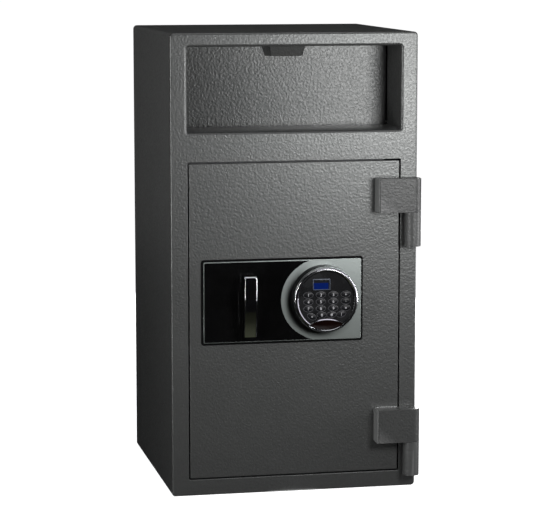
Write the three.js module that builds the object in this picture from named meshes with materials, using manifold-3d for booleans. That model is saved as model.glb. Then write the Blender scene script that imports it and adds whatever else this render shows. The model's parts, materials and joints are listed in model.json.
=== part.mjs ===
import * as THREE from "three";
import { mergeVertices } from "three/addons/utils/BufferGeometryUtils.js";
import Module from "manifold-3d";

// Drop safe: a steel cabinet with a tilting deposit hopper above a hinged door with bolts and a keypad lock.
// Millimetres. +X is right, +Y is to the back, +Z is up, and the origin is the middle of the base.
// A depth is measured back from the front face of the cabinet, so what stands proud has a negative depth.

const wasm = await Module();
wasm.setup();

// Cabinet
const cabinetWidth = 380;
const cabinetDepth = 370;
const cabinetHeight = 700;
const shellWall = 4;
const shellCornerRadius = 6;
const frontEdgeRadius = 3;
const frameThickness = 6;
const backThickness = 4;
const anchorHoleRadius = 6.5;
const anchorSideInset = 70;
const anchorEndInset = 75;

// The two openings in the front frame
const stileWidth = 26;
const doorOpeningBottom = 25;
const doorOpeningCornerRadius = 1.5;
const railHeight = 44.5;
const windowHeight = 127;
const topRailHeight = 20.5;
const windowCornerRadius = 3;
const rolledEdgeRadius = 4.5;

// Fits
const runningClearance = 0.3;
const cutOverrun = 5;
const weldTolerance = 0.001;

// Hopper drawer
const hopperPlateDepth = 82;
const plateLap = 4;
const hopperSheet = 2.5;
const hopperSideGap = 3;
const hingeRise = 5;
const hemRadius = 4.5;
const hemBoreRadius = 3.2;
const rodRadius = 2.9;
const rodHeadRadius = 5;
const rodHeadLength = 2;
const sidePlateThickness = 2;
const sweepMargin = 0.5;
const rampThickness = 2;
const rampSlopeDegrees = 35;

// Cup pull on the hopper plate
const pullProud = 25;
const pullHeight = 19;
const pullTopWidth = 56;
const pullBottomWidth = 45;
const pullBaseSpread = 14;
const pullWall = 2;
const pullTopInset = 2.5;

// Fixed sheet metal round the hopper
const cheekThickness = 2.5;
const cheekRearMargin = 4;
const cheekTopMargin = 4;
const cheekBottomMargin = 6;
const roofGap = 2;
const hoodGap = 5;
const hoodThickness = 2;
const baffleBand = 3;
const toothPitch = 24;
const toothHeight = 12;
const sillGap = 2.5;
const sillThickness = 2.5;
const sillRise = 2.2;
const sillFrontFlangeHeight = 12;
const sillFlangeHeight = 30;

// Door
const doorThickness = 8;
const doorGap = 2.2;
const stopOverlap = 5;
const stopGap = 0.4;
const stopThickness = 3;
const stopReachPastDoorTop = 24;
const stopHingeSideShortfall = 22;
const boxInset = 14.8;
const boxHingeSideInset = 36;
const boxDepth = 45;
const boxWall = 2;
const coverThickness = 2;
const deadBarEndMargin = 32.8;
const deadBarFoot = 18;
const deadBarFootInset = 4;
const deadBarHook = 14;
const deadBarHookThickness = 10;
const deadBarFrameGap = 8;

// External hinges
const hingeAxisInset = 10;
const barrelRadius = 12.5;
const barrelFrontGap = 0.4;
const barrelBelowOpening = 4;
const upperBarrelDrop = 132;
const barrelHeight = 52.4;
const knuckleHeight = 51.3;
const knuckleGap = 0.3;
const hingePinRadius = 6;
const hingePinRecess = 1;
const barrelFootWidth = 14;
const strapOverlap = 37.8;
const strapCornerRadius = 3;

// Lock panel
const panelLockSideMargin = 17.3;
const panelHingeSideMargin = 56.3;
const panelRise = 29.9;
const panelHeight = 130;
const panelCornerRadius = 4.5;
const gasketThickness = 1.5;
const facePlateInset = 3.4;
const facePlateThickness = 2;
const facePlateCornerRadius = 2;
const overlayInset = 2;
const overlayThickness = 0.6;
const overlayArcRadius = 61.3;
const overlayArcSetback = 5;
const overlayArcDrop = 1.3;

// Keypad
const keypadSideMargin = 61.7;
const keypadRise = 1.9;
const keypadRadius = 50.5;
const housingHeight = 14;
const housingFlare = 1.3;
const housingGrooveDepth = 1.2;
const housingGrooveWidth = 1.6;
const keyPocketWall = 8.5;
const keyPocketDepth = 4;
const ringHeight = 6;
const ringWidth = 6.5;
const ringSetback = 0.5;
const ringShoulder = 1.5;
const faceThickness = 3;
const keyProud = 1.5;
const keyBevel = 0.8;
const keyHoleClearance = 0.35;
const keyFlangeThickness = 1;
const displayThickness = 1.5;
const displayProud = 0.5;
const hatchRim = 1.6;
const hatchScoopDepth = 4;
const hatchRecess = 0.5;

// Sizes and places on the keypad's face, as shares of the key pocket's radius
const keyHalfWidthShare = 0.1667;
const keyHalfHeightShare = 0.0988;
const keyFlangeLipShare = 0.0167;
const displayXShare = -0.17;
const displayZShare = 0.567;
const displayWidthShare = 0.6429;
const displayHeightShare = 0.4048;
const hatchZShare = -0.902;
const hatchHalfWidthShare = 0.667;
const hatchHalfHeightShare = 0.2155;

// The keys stand in three even rows, with a fourth row of turned keys round the hatch
const keyColumnShares = [-0.66, -0.2, 0.26, 0.72];
const keyRowShares = [0.19, -0.058, -0.306];
const lastRowShares = [
  [-0.528, -0.593, -28],
  [-0.165, -0.54, -4],
  [0.2, -0.54, 4],
  [0.557, -0.53, 14],
];

// Lever handle, its spindle and crank
const leverPlaceShare = 0.2816;
const pivotRise = 32.6;
const leverWidth = 19.6;
const leverRise = 10;
const leverDrop = 82.4;
const leverProud = 34;
const leverThickness = 9;
const leverTipSetback = 7;
const leverBossHalfHeight = 10;
const leverEdgeRadius = 2;
const bushFlangeRadius = 9.5;
const bushFlangeThickness = 3;
const bushSleeveRadius = 8.2;
const spindleRadius = 6;
const spindleSocketDepth = 14;
const crankThickness = 5;
const crankSetback = 8;
const crankRadius = 24;
const crankBossRadius = 9;
const crankEndRadius = 6;
const crankPinRadius = 3;
const crankPinSlack = 0.6;
const leverTravelDegrees = 60;

// Boltwork
const boltRadius = 10;
const boltAxisDepth = 22.5;
const boltTipReach = 5;
const flangeFromLever = 22.3;
const boltChamfer = 2;
const boltHoleClearance = 0.4;
const boltEndMargin = 68;
const carriageThickness = 3;
const carriageWidth = 58;
const carriageEndMargin = 22;
const carriageFlangeInset = 0.5;
const carriageBoltGap = 1.5;
const studRadius = 4;
const studHeadRadius = 7;
const studHeadThickness = 3;
const studFromFlange = 18;
const lockCaseHalfWidth = 32;
const lockCaseHalfHeight = 42;
const lockCaseDepth = 30;
const lockCaseCornerRadius = 4;
const lockBoltLength = 10;
const lockBoltHalfHeight = 8;
const lockBoltMargin = 9;

// Fineness of round forms
const arcSteps = 4;
const pinSides = 20;
const barrelSides = 32;
const keypadSides = 56;
const ovalSteps = 8;
const ringCrownSteps = 6;
const hoodArcSteps = 20;
const sideArcSteps = 14;

// Places worked out from the sizes above
const frontY = -cabinetDepth / 2;
const halfWidth = cabinetWidth / 2;
const halfOpening = halfWidth - stileWidth;
const innerHalfWidth = halfWidth - shellWall;
const windowTop = cabinetHeight - topRailHeight;
const windowBottom = windowTop - windowHeight;
const doorOpeningTop = windowBottom - railHeight;
const pivotDepth = hopperPlateDepth + hemRadius;
const hopperPivotZ = windowBottom + hingeRise;
const halfHopper = halfOpening - hopperSideGap;
const hopperPlateHeight = windowHeight + plateLap - hingeRise;
const sweptRadius = hopperPlateHeight + sweepMargin;
const sillDepth = hopperPlateDepth - sillGap;
const rampSlope = THREE.MathUtils.degToRad(rampSlopeDegrees);
const roofZ = hopperPivotZ + sweptRadius + roofGap;
const hoodRadius = sweptRadius + hoodGap;
const baffleBottom = hopperPivotZ - baffleBand - toothHeight;
const halfDoor = halfOpening - doorGap;
const doorBottom = doorOpeningBottom + doorGap;
const doorTop = doorOpeningTop - doorGap;
const doorMiddleZ = (doorBottom + doorTop) / 2;
const boxLeft = -halfDoor + boxInset;
const boxRight = halfDoor - boxHingeSideInset;
const boxBottom = doorBottom + boxInset;
const boxTop = doorTop - boxInset;
const boxBackDepth = doorThickness + boxDepth;
const hingeAxisX = halfWidth - hingeAxisInset;
const hingeAxisDepth = -(barrelFrontGap + barrelRadius);
const barrelBottoms = [doorOpeningBottom - barrelBelowOpening, doorOpeningTop - upperBarrelDrop];
const strapLeft = halfDoor - strapOverlap;
const panelLeft = -halfDoor + panelLockSideMargin;
const panelRight = halfDoor - panelHingeSideMargin;
const panelCentreZ = doorMiddleZ + panelRise;
const keypadX = panelRight - keypadSideMargin;
const keypadZ = panelCentreZ + keypadRise;
const keyPocketRadius = keypadRadius - keyPocketWall;
const ringInnerRadius = keypadRadius - ringSetback - ringWidth;
const keyHalfWidth = keyHalfWidthShare * keyPocketRadius;
const keyHalfHeight = keyHalfHeightShare * keyPocketRadius;
const hatchZ = keypadZ + hatchZShare * keyPocketRadius;
const hatchHalfWidth = hatchHalfWidthShare * keyPocketRadius;
const hatchHalfHeight = hatchHalfHeightShare * keyPocketRadius;
const leverX = panelLeft + leverPlaceShare * (panelRight - panelLeft);
const pivotZ = panelCentreZ + pivotRise;
const gasketDepth = -gasketThickness;
const facePlateDepth = gasketDepth - facePlateThickness;
const panelFaceDepth = facePlateDepth - overlayThickness;
const housingTopDepth = facePlateDepth - housingHeight;
const ringTopDepth = housingTopDepth - ringHeight;
const keypadFaceDepth = housingTopDepth - faceThickness;
const boltTipX = boxLeft - boltTipReach;
const boltFlangeX = leverX - flangeFromLever;
const boltLength = boltFlangeX - boltTipX;
const boltHeights = [boxBottom + boltEndMargin, doorMiddleZ, boxTop - boltEndMargin];
const webDepth = boltAxisDepth + boltRadius + carriageBoltGap;
const crankDepth = doorThickness + crankSetback;
const crankHalfTravel = THREE.MathUtils.degToRad(leverTravelDegrees / 2);
const crankPinX = leverX + crankRadius * Math.sin(crankHalfTravel);
const crankPinZ = pivotZ - crankRadius * Math.cos(crankHalfTravel);
const boltThrow = 2 * crankRadius * Math.sin(crankHalfTravel);

// A closed three.js geometry as a solid that can be joined and cut.
function solidOf(geometry) {
  const plain = geometry.index ? geometry.toNonIndexed() : geometry;
  const bare = new THREE.BufferGeometry();
  bare.setAttribute("position", plain.getAttribute("position"));
  const merged = mergeVertices(bare, weldTolerance);
  const mesh = new wasm.Mesh({
    numProp: 3,
    vertProperties: merged.getAttribute("position").array,
    triVerts: new Uint32Array(merged.index.array),
  });
  return new wasm.Manifold(mesh);
}

function geometryOf(solid) {
  const mesh = solid.getMesh();
  const geometry = new THREE.BufferGeometry();
  geometry.setAttribute("position", new THREE.BufferAttribute(mesh.vertProperties, 3));
  geometry.setIndex(new THREE.BufferAttribute(mesh.triVerts, 1));
  geometry.computeVertexNormals();
  return geometry;
}

function extrusion(shape, length, steps) {
  const settings = { depth: length, bevelEnabled: false, curveSegments: steps };
  return new THREE.ExtrudeGeometry(shape, settings);
}

// A shape drawn in X and Z, solid from one depth to a larger one.
function slab(shape, nearDepth, farDepth, steps = arcSteps) {
  const geometry = extrusion(shape, farDepth - nearDepth, steps);
  geometry.rotateX(Math.PI / 2);
  geometry.translate(0, frontY + farDepth, 0);
  return solidOf(geometry);
}

// A profile drawn in depth and Z, solid along X.
function bar(shape, left, right, steps = arcSteps) {
  const geometry = extrusion(shape, right - left, steps);
  const turn = new THREE.Matrix4();
  turn.makeBasis(new THREE.Vector3(0, 1, 0), new THREE.Vector3(0, 0, 1), new THREE.Vector3(1, 0, 0));
  geometry.applyMatrix4(turn);
  geometry.translate(left, frontY, 0);
  return solidOf(geometry);
}

// A plan drawn in X and depth, solid upwards.
function post(shape, bottom, top, steps = arcSteps) {
  const geometry = extrusion(shape, top - bottom, steps);
  geometry.translate(0, frontY, bottom);
  return solidOf(geometry);
}

function block(left, right, nearDepth, farDepth, bottom, top) {
  const geometry = new THREE.BoxGeometry(right - left, farDepth - nearDepth, top - bottom);
  geometry.translate((left + right) / 2, frontY + (nearDepth + farDepth) / 2, (bottom + top) / 2);
  return solidOf(geometry);
}

function rodAlongX(depth, z, radius, left, right, sides = pinSides) {
  const geometry = new THREE.CylinderGeometry(radius, radius, right - left, sides);
  geometry.rotateZ(Math.PI / 2);
  geometry.translate((left + right) / 2, frontY + depth, z);
  return solidOf(geometry);
}

function rodAlongY(x, z, radius, nearDepth, farDepth, sides = pinSides) {
  const geometry = new THREE.CylinderGeometry(radius, radius, farDepth - nearDepth, sides);
  geometry.translate(x, frontY + (nearDepth + farDepth) / 2, z);
  return solidOf(geometry);
}

function rodAlongZ(x, depth, radius, bottom, top, sides = pinSides) {
  const geometry = new THREE.CylinderGeometry(radius, radius, top - bottom, sides);
  geometry.rotateX(Math.PI / 2);
  geometry.translate(x, frontY + depth, (bottom + top) / 2);
  return solidOf(geometry);
}

// A profile of [radius, height proud of the given depth] pairs, turned about an axis along Y.
function turnedAlongY(x, z, depth, profile, sides) {
  const points = profile.map(([radius, proud]) => new THREE.Vector2(radius, -proud)).reverse();
  const geometry = new THREE.LatheGeometry(points, sides);
  geometry.translate(x, frontY + depth, z);
  return solidOf(geometry);
}

// A closed solid through convex rings of equal count, flat at both ends.
// The rings are listed from front to back, each counter-clockwise as seen from the front.
function loft(rings) {
  const count = rings[0].length;
  const corners = [];
  const put = (a, b, c) => corners.push(a, b, c);
  for (let level = 0; level + 1 < rings.length; level += 1) {
    for (let i = 0; i < count; i += 1) {
      const next = (i + 1) % count;
      put(rings[level][i], rings[level + 1][next], rings[level][next]);
      put(rings[level][i], rings[level + 1][i], rings[level + 1][next]);
    }
  }
  const last = rings[rings.length - 1];
  for (let i = 1; i + 1 < count; i += 1) {
    put(rings[0][0], rings[0][i], rings[0][i + 1]);
    put(last[0], last[i + 1], last[i]);
  }
  return solidOf(new THREE.BufferGeometry().setFromPoints(corners));
}

function rectangle(left, right, bottom, top) {
  const shape = new THREE.Shape();
  shape.moveTo(left, bottom);
  shape.lineTo(right, bottom);
  shape.lineTo(right, top);
  shape.lineTo(left, top);
  shape.closePath();
  return shape;
}

function roundedRectangle(left, right, bottom, top, radius) {
  const shape = new THREE.Shape();
  shape.moveTo(left + radius, bottom);
  shape.lineTo(right - radius, bottom);
  shape.absarc(right - radius, bottom + radius, radius, -Math.PI / 2, 0);
  shape.lineTo(right, top - radius);
  shape.absarc(right - radius, top - radius, radius, 0, Math.PI / 2);
  shape.lineTo(left + radius, top);
  shape.absarc(left + radius, top - radius, radius, Math.PI / 2, Math.PI);
  shape.lineTo(left, bottom + radius);
  shape.absarc(left + radius, bottom + radius, radius, Math.PI, 1.5 * Math.PI);
  return shape;
}

// The same outline as a ring of points at one depth, for lofts.
function roundedRing(left, right, bottom, top, radius, depth) {
  const outline = roundedRectangle(left, right, bottom, top, radius);
  return outline.getPoints(arcSteps).slice(1).map((p) => new THREE.Vector3(p.x, frontY + depth, p.y));
}

function oval(x, z, halfWide, halfHigh, turn) {
  const shape = new THREE.Shape();
  shape.absellipse(x, z, halfWide, halfHigh, 0, 2 * Math.PI, false, turn);
  return shape;
}

// Two arcs that meet in points at the left and right.
function lens(x, z, halfWide, halfHigh) {
  const radius = (halfWide * halfWide + halfHigh * halfHigh) / (2 * halfHigh);
  const reach = Math.asin(halfWide / radius);
  const shape = new THREE.Shape();
  shape.absarc(x, z + halfHigh - radius, radius, Math.PI / 2 - reach, Math.PI / 2 + reach);
  shape.absarc(x, z - halfHigh + radius, radius, 1.5 * Math.PI - reach, 1.5 * Math.PI + reach);
  return shape;
}

const assembly = new THREE.Group();

function add(name, solid, finish) {
  const mesh = new THREE.Mesh(geometryOf(solid), finish());
  mesh.name = name;
  assembly.add(mesh);
}

// Finishes
const standard = (color, roughness, metalness) =>
  new THREE.MeshStandardMaterial({ color, roughness, metalness });
const hammertone = () => standard(0x5f6061, 0.55, 0.35);
const innerPaint = () => standard(0x3c3d3f, 0.6, 0.25);
const zincPlate = () => standard(0xa9abaa, 0.35, 0.9);
const brightSteel = () => standard(0xc4c6c8, 0.22, 1);
const mirrorChrome = () => standard(0xe6e8ea, 0.06, 1);
const satinSilver = () => standard(0x9aa39f, 0.38, 0.8);
const glossBlack = () => standard(0x060607, 0.08, 0);
const mattBlack = () => standard(0x131415, 0.55, 0);
const keyRubber = () => standard(0x1b1c1e, 0.42, 0);
const displayBlue = () => standard(0x0a1f7d, 0.12, 0);
const caseZinc = () => standard(0x8d8f90, 0.45, 0.7);

// Cabinet: a folded tube closed by the back plate and the front frame

function cabinetOutline() {
  return roundedRectangle(-halfWidth, halfWidth, 0, cabinetHeight, shellCornerRadius);
}

function cabinetShell() {
  const outline = cabinetOutline();
  const inside = [-innerHalfWidth, innerHalfWidth, shellWall, cabinetHeight - shellWall];
  outline.holes.push(rectangle(...inside));
  let shell = slab(outline, frameThickness, cabinetDepth - backThickness);
  for (const x of [anchorSideInset - halfWidth, halfWidth - anchorSideInset]) {
    for (const depth of [anchorEndInset, cabinetDepth - anchorEndInset]) {
      shell = shell.subtract(rodAlongZ(x, depth, anchorHoleRadius, -cutOverrun, shellWall + cutOverrun));
    }
  }
  return shell;
}

// A quarter circle from the front face to the side, as pairs of distance from the side and depth.
function quarterRoll(radius) {
  return Array.from({ length: arcSteps + 1 }, (_, step) => {
    const angle = (step / arcSteps) * (Math.PI / 2);
    return [radius * (1 - Math.sin(angle)), radius * (1 - Math.cos(angle))];
  });
}

// The window's edge rolls back, cut here as a flare that narrows with depth.
function windowCutter() {
  const rings = [];
  const ring = (spread, depth) => {
    const sides = [-halfOpening - spread, halfOpening + spread, windowBottom - spread, windowTop + spread];
    rings.push(roundedRing(...sides, windowCornerRadius + spread, depth));
  };
  ring(rolledEdgeRadius, -cutOverrun);
  quarterRoll(rolledEdgeRadius).forEach(([spread, depth]) => ring(spread, depth));
  ring(0, frameThickness + cutOverrun);
  return loft(rings);
}

// The frame's plate before its openings are cut, with its outer edge rolled back to the shell.
function frameBlank() {
  const rings = [];
  const ring = (inset, depth) => {
    const sides = [-halfWidth + inset, halfWidth - inset, inset, cabinetHeight - inset];
    rings.push(roundedRing(...sides, shellCornerRadius - inset, depth));
  };
  quarterRoll(frontEdgeRadius).forEach(([inset, depth]) => ring(inset, depth));
  ring(0, frameThickness);
  return loft(rings);
}

function frontFrame() {
  const opening = [-halfOpening, halfOpening, doorOpeningBottom, doorOpeningTop];
  const outline = roundedRectangle(...opening, doorOpeningCornerRadius);
  const doorCutter = slab(outline, -cutOverrun, frameThickness + cutOverrun);
  return frameBlank().subtract(doorCutter).subtract(windowCutter());
}

function backPlate() {
  return slab(cabinetOutline(), cabinetDepth - backThickness, cabinetDepth);
}

// A C of flat bar behind the frame: it stops the door at the lock side, the top and the bottom.
function doorJamb() {
  const right = halfDoor - stopHingeSideShortfall;
  const top = doorOpeningTop + stopReachPastDoorTop;
  const backDepth = doorThickness + stopGap + stopThickness;
  const spacer = rectangle(-innerHalfWidth, right, shellWall, top);
  const ring = slab(spacer, frameThickness, backDepth);
  const behindFrame = block(
    -halfOpening,
    right + cutOverrun,
    0,
    doorThickness + stopGap,
    doorOpeningBottom,
    doorOpeningTop,
  );
  const overlap = doorGap + stopOverlap;
  const inside = block(
    -halfOpening + overlap,
    right + cutOverrun,
    0,
    backDepth + cutOverrun,
    doorOpeningBottom + overlap,
    doorOpeningTop - overlap,
  );
  return ring.subtract(behindFrame).subtract(inside);
}

// Fixed sheet metal round the hopper

// The recess floor, a little above the window's edge, folded down at the front and the back.
function recessSill() {
  const top = windowBottom + sillRise;
  const profile = new THREE.Shape();
  profile.moveTo(frameThickness, top - sillFrontFlangeHeight);
  profile.lineTo(frameThickness + sillThickness, top - sillFrontFlangeHeight);
  profile.lineTo(frameThickness + sillThickness, top - sillThickness);
  profile.lineTo(sillDepth - sillThickness, top - sillThickness);
  profile.lineTo(sillDepth - sillThickness, top - sillFlangeHeight);
  profile.lineTo(sillDepth, top - sillFlangeHeight);
  profile.lineTo(sillDepth, top);
  profile.lineTo(frameThickness, top);
  profile.closePath();
  return bar(profile, -halfOpening, halfOpening);
}

function hopperCheek(side) {
  const rear = pivotDepth + hoodRadius + cheekRearMargin;
  const bottom = windowBottom - cheekBottomMargin;
  const profile = new THREE.Shape();
  profile.moveTo(frameThickness, bottom);
  profile.lineTo(pivotDepth, bottom);
  profile.lineTo(rear, baffleBottom - cheekBottomMargin);
  profile.lineTo(rear, roofZ + cheekTopMargin);
  profile.lineTo(frameThickness, roofZ + cheekTopMargin);
  profile.closePath();
  const near = side * halfOpening;
  const far = side * (halfOpening + cheekThickness);
  const plate = bar(profile, Math.min(near, far), Math.max(near, far));
  const reach = [near - side * cutOverrun, far + side * cutOverrun].sort((a, b) => a - b);
  return plate.subtract(rodAlongX(pivotDepth, hopperPivotZ, rodRadius + runningClearance, ...reach));
}

// Roof and back of the hopper space in one bent sheet.
function hopperHood() {
  const outerRadius = hoodRadius + hoodThickness;
  const innerStart = Math.asin((roofZ - hopperPivotZ) / hoodRadius);
  const outerStart = Math.asin((roofZ + hoodThickness - hopperPivotZ) / outerRadius);
  const profile = new THREE.Shape();
  profile.moveTo(frameThickness, roofZ);
  profile.absarc(pivotDepth, hopperPivotZ, hoodRadius, innerStart, 0, true);
  profile.absarc(pivotDepth, hopperPivotZ, outerRadius, 0, outerStart, false);
  profile.lineTo(frameThickness, roofZ + hoodThickness);
  profile.closePath();
  return bar(profile, -halfOpening, halfOpening, hoodArcSteps);
}

// A saw-toothed strip below the hood, above the drop mouth: it stops a deposit from being fished back out.
function hopperBaffle() {
  const bandBottom = hopperPivotZ - baffleBand;
  const teeth = Math.floor((2 * halfOpening) / toothPitch);
  const outline = new THREE.Shape();
  outline.moveTo(halfOpening, bandBottom);
  outline.lineTo(halfOpening, hopperPivotZ);
  outline.lineTo(-halfOpening, hopperPivotZ);
  outline.lineTo(-halfOpening, bandBottom);
  for (let tooth = 0; tooth < teeth; tooth += 1) {
    const start = (tooth - teeth / 2) * toothPitch;
    outline.lineTo(start, bandBottom);
    outline.lineTo(start + toothPitch / 2, baffleBottom);
  }
  outline.lineTo((teeth / 2) * toothPitch, bandBottom);
  outline.closePath();
  return slab(outline, pivotDepth + hoodRadius, pivotDepth + hoodRadius + hoodThickness);
}

function hopperRod() {
  const outer = halfOpening + cheekThickness + runningClearance;
  let rod = rodAlongX(pivotDepth, hopperPivotZ, rodRadius, -outer - rodHeadLength, outer + rodHeadLength);
  for (const side of [-1, 1]) {
    const ends = [side * outer, side * (outer + rodHeadLength)].sort((a, b) => a - b);
    rod = rod.add(rodAlongX(pivotDepth, hopperPivotZ, rodHeadRadius, ...ends));
  }
  return rod;
}

// Hopper drawer

function hopperFront() {
  const plate = rectangle(hopperPlateDepth, hopperPlateDepth + hopperSheet, hopperPivotZ, plateTop());
  const hem = rodAlongX(pivotDepth, hopperPivotZ, hemRadius, -halfHopper, halfHopper);
  const reach = halfHopper + cutOverrun;
  const bore = rodAlongX(pivotDepth, hopperPivotZ, hemBoreRadius, -reach, reach);
  return bar(plate, -halfHopper, halfHopper).add(hem).subtract(bore);
}

function plateTop() {
  return hopperPivotZ + hopperPlateHeight;
}

// A point at a radius and angle about the hopper's pivot, in depth and Z.
function aboutPivot(radius, angle) {
  return [pivotDepth + radius * Math.cos(angle), hopperPivotZ + radius * Math.sin(angle)];
}

function hopperRamp() {
  const start = hemRadius + runningClearance;
  const half = rampThickness / 2;
  const corner = (radius, side) => aboutPivot(Math.hypot(radius, half), -rampSlope + side * Math.atan2(half, radius));
  const profile = new THREE.Shape();
  profile.moveTo(...corner(start, -1));
  profile.lineTo(...corner(sweptRadius - half, -1));
  profile.lineTo(...corner(sweptRadius - half, 1));
  profile.lineTo(...corner(start, 1));
  profile.closePath();
  const edge = halfHopper - sidePlateThickness - runningClearance;
  return bar(profile, -edge, edge);
}

function hopperSide(side) {
  const clear = hemRadius + runningClearance;
  const plateBack = hopperPlateDepth + hopperSheet - pivotDepth;
  const half = rampThickness / 2;
  const topAngle = Math.acos(plateBack / sweptRadius);
  const hemAngle = Math.acos(plateBack / clear);
  const outerEnd = -rampSlope - Math.asin(half / sweptRadius);
  const innerEnd = -rampSlope - Math.asin(half / clear);
  const profile = new THREE.Shape();
  profile.absarc(pivotDepth, hopperPivotZ, sweptRadius, outerEnd, topAngle, false);
  profile.absarc(pivotDepth, hopperPivotZ, clear, hemAngle, innerEnd, true);
  profile.closePath();
  const near = side * halfHopper;
  const far = side * (halfHopper - sidePlateThickness);
  return bar(profile, Math.min(near, far), Math.max(near, far), sideArcSteps);
}

// A tapered cup, open below for the fingers, wider where it meets the plate.
function hopperPull() {
  const top = plateTop() - pullTopInset;
  const bottom = top - pullHeight;
  const nearDepth = hopperPlateDepth - pullProud;
  const ring = (inset, depth, low, high, spread) => {
    const halfTop = (pullTopWidth + spread) / 2 - inset;
    const halfLow = (pullBottomWidth + spread) / 2 - inset;
    const corners = [[-halfLow, low], [halfLow, low], [halfTop, high], [-halfTop, high]];
    return corners.map(([x, z]) => new THREE.Vector3(x, frontY + depth, z));
  };
  const outer = loft([ring(0, nearDepth, bottom, top, 0), ring(0, hopperPlateDepth, bottom, top, pullBaseSpread)]);
  const farDepth = hopperPlateDepth + cutOverrun;
  const low = bottom - cutOverrun;
  const inner = loft([
    ring(pullWall, nearDepth + pullWall, low, top - pullWall, 0),
    ring(pullWall, farDepth, low, top - pullWall, pullBaseSpread),
  ]);
  return outer.subtract(inner);
}

// Door

function doorPlate() {
  const outline = rectangle(-halfDoor, halfDoor, doorBottom, doorTop);
  return slab(outline, 0, doorThickness).subtract(bushHole());
}

function bushHole() {
  return rodAlongY(leverX, pivotZ, bushSleeveRadius + runningClearance, -cutOverrun, doorThickness + cutOverrun);
}

function boltBox() {
  const outline = rectangle(boxLeft, boxRight, boxBottom, boxTop);
  const inside = [boxLeft + boxWall, boxRight - boxWall, boxBottom + boxWall, boxTop - boxWall];
  outline.holes.push(rectangle(...inside));
  let box = slab(outline, doorThickness, boxBackDepth);
  for (const z of boltHeights) {
    const radius = boltRadius + boltHoleClearance;
    box = box.subtract(rodAlongX(boltAxisDepth, z, radius, boxLeft - cutOverrun, boxLeft + boxWall + cutOverrun));
  }
  return box;
}

function boltBoxCover() {
  const outline = rectangle(boxLeft, boxRight, boxBottom, boxTop);
  return slab(outline, boxBackDepth, boxBackDepth + coverThickness);
}

// A stepped bar on the hinge side whose hook lies behind the frame while the door is shut.
function deadBar() {
  const right = halfDoor - deadBarFootInset;
  const left = right - deadBarFoot;
  const near = frameThickness + deadBarFrameGap;
  const far = near + deadBarHookThickness;
  const plan = new THREE.Shape();
  plan.moveTo(left, doorThickness);
  plan.lineTo(right, doorThickness);
  plan.lineTo(right, near);
  plan.lineTo(right + deadBarHook, near);
  plan.lineTo(right + deadBarHook, far);
  plan.lineTo(left, far);
  plan.closePath();
  return post(plan, doorBottom + deadBarEndMargin, doorTop - deadBarEndMargin);
}

// Hinges: the lower half of each barrel is welded to the frame, the upper half ends the door's strap.

function hingeBore(bottom, top) {
  const radius = hingePinRadius + runningClearance;
  return rodAlongZ(hingeAxisX, hingeAxisDepth, radius, bottom - cutOverrun, top + cutOverrun);
}

function frameBarrel(bottom) {
  const top = bottom + barrelHeight;
  const round = rodAlongZ(hingeAxisX, hingeAxisDepth, barrelRadius, bottom, top, barrelSides);
  const half = barrelFootWidth / 2;
  const foot = block(hingeAxisX - half, hingeAxisX + half, hingeAxisDepth, 0, bottom, top);
  return round.add(foot).subtract(hingeBore(bottom, top));
}

function hingeStrap(barrelBottom) {
  const bottom = barrelBottom + barrelHeight + knuckleGap;
  const top = bottom + knuckleHeight;
  const outer = hingeAxisDepth - barrelRadius;
  const plan = new THREE.Shape();
  plan.moveTo(strapLeft, 0);
  plan.lineTo(halfDoor, 0);
  plan.lineTo(halfDoor, -barrelFrontGap);
  plan.absarc(hingeAxisX, hingeAxisDepth, barrelRadius, Math.PI / 2, -Math.PI / 2, true);
  plan.absarc(
    strapLeft + strapCornerRadius,
    outer + strapCornerRadius,
    strapCornerRadius,
    1.5 * Math.PI,
    Math.PI,
    true,
  );
  plan.closePath();
  return post(plan, bottom, top, barrelSides / 2).subtract(hingeBore(bottom, top));
}

function hingePin(barrelBottom) {
  const top = barrelBottom + barrelHeight + knuckleGap + knuckleHeight - hingePinRecess;
  return rodAlongZ(hingeAxisX, hingeAxisDepth, hingePinRadius, barrelBottom, top);
}

// Lock panel

function panelOutline(inset, radius) {
  const halfZ = panelHeight / 2 - inset;
  const sides = [panelLeft + inset, panelRight - inset, panelCentreZ - halfZ, panelCentreZ + halfZ];
  return roundedRectangle(...sides, radius);
}

function panelGasket() {
  return slab(panelOutline(0, panelCornerRadius), gasketDepth, 0).subtract(bushHole());
}

function facePlate() {
  const outline = panelOutline(facePlateInset, facePlateCornerRadius);
  return slab(outline, facePlateDepth, gasketDepth).subtract(bushHole());
}

// The gloss black field ends in an arc round the keypad.
function glossOverlay() {
  const outline = panelOutline(facePlateInset + overlayInset, facePlateCornerRadius);
  const field = slab(outline, panelFaceDepth, facePlateDepth);
  const near = panelFaceDepth - cutOverrun;
  const arcX = keypadX - overlayArcSetback;
  const disc = rodAlongY(arcX, keypadZ - overlayArcDrop, overlayArcRadius, near, cutOverrun, keypadSides);
  const rest = block(
    arcX,
    panelRight + cutOverrun,
    near,
    cutOverrun,
    panelCentreZ - panelHeight,
    panelCentreZ + panelHeight,
  );
  return field.subtract(disc).subtract(rest).subtract(bushHole());
}

// Keypad

function keypadHousing() {
  const grooveTop = housingHeight - housingGrooveWidth;
  const groove = keypadRadius - housingGrooveDepth;
  const profile = [
    [0, 0],
    [keypadRadius + housingFlare, 0],
    [keypadRadius, grooveTop],
    [groove, grooveTop],
    [groove, housingHeight],
    [keyPocketRadius, housingHeight],
    [keyPocketRadius, housingHeight - keyPocketDepth],
    [0, housingHeight - keyPocketDepth],
  ];
  return turnedAlongY(keypadX, keypadZ, facePlateDepth, profile, keypadSides);
}

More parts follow.
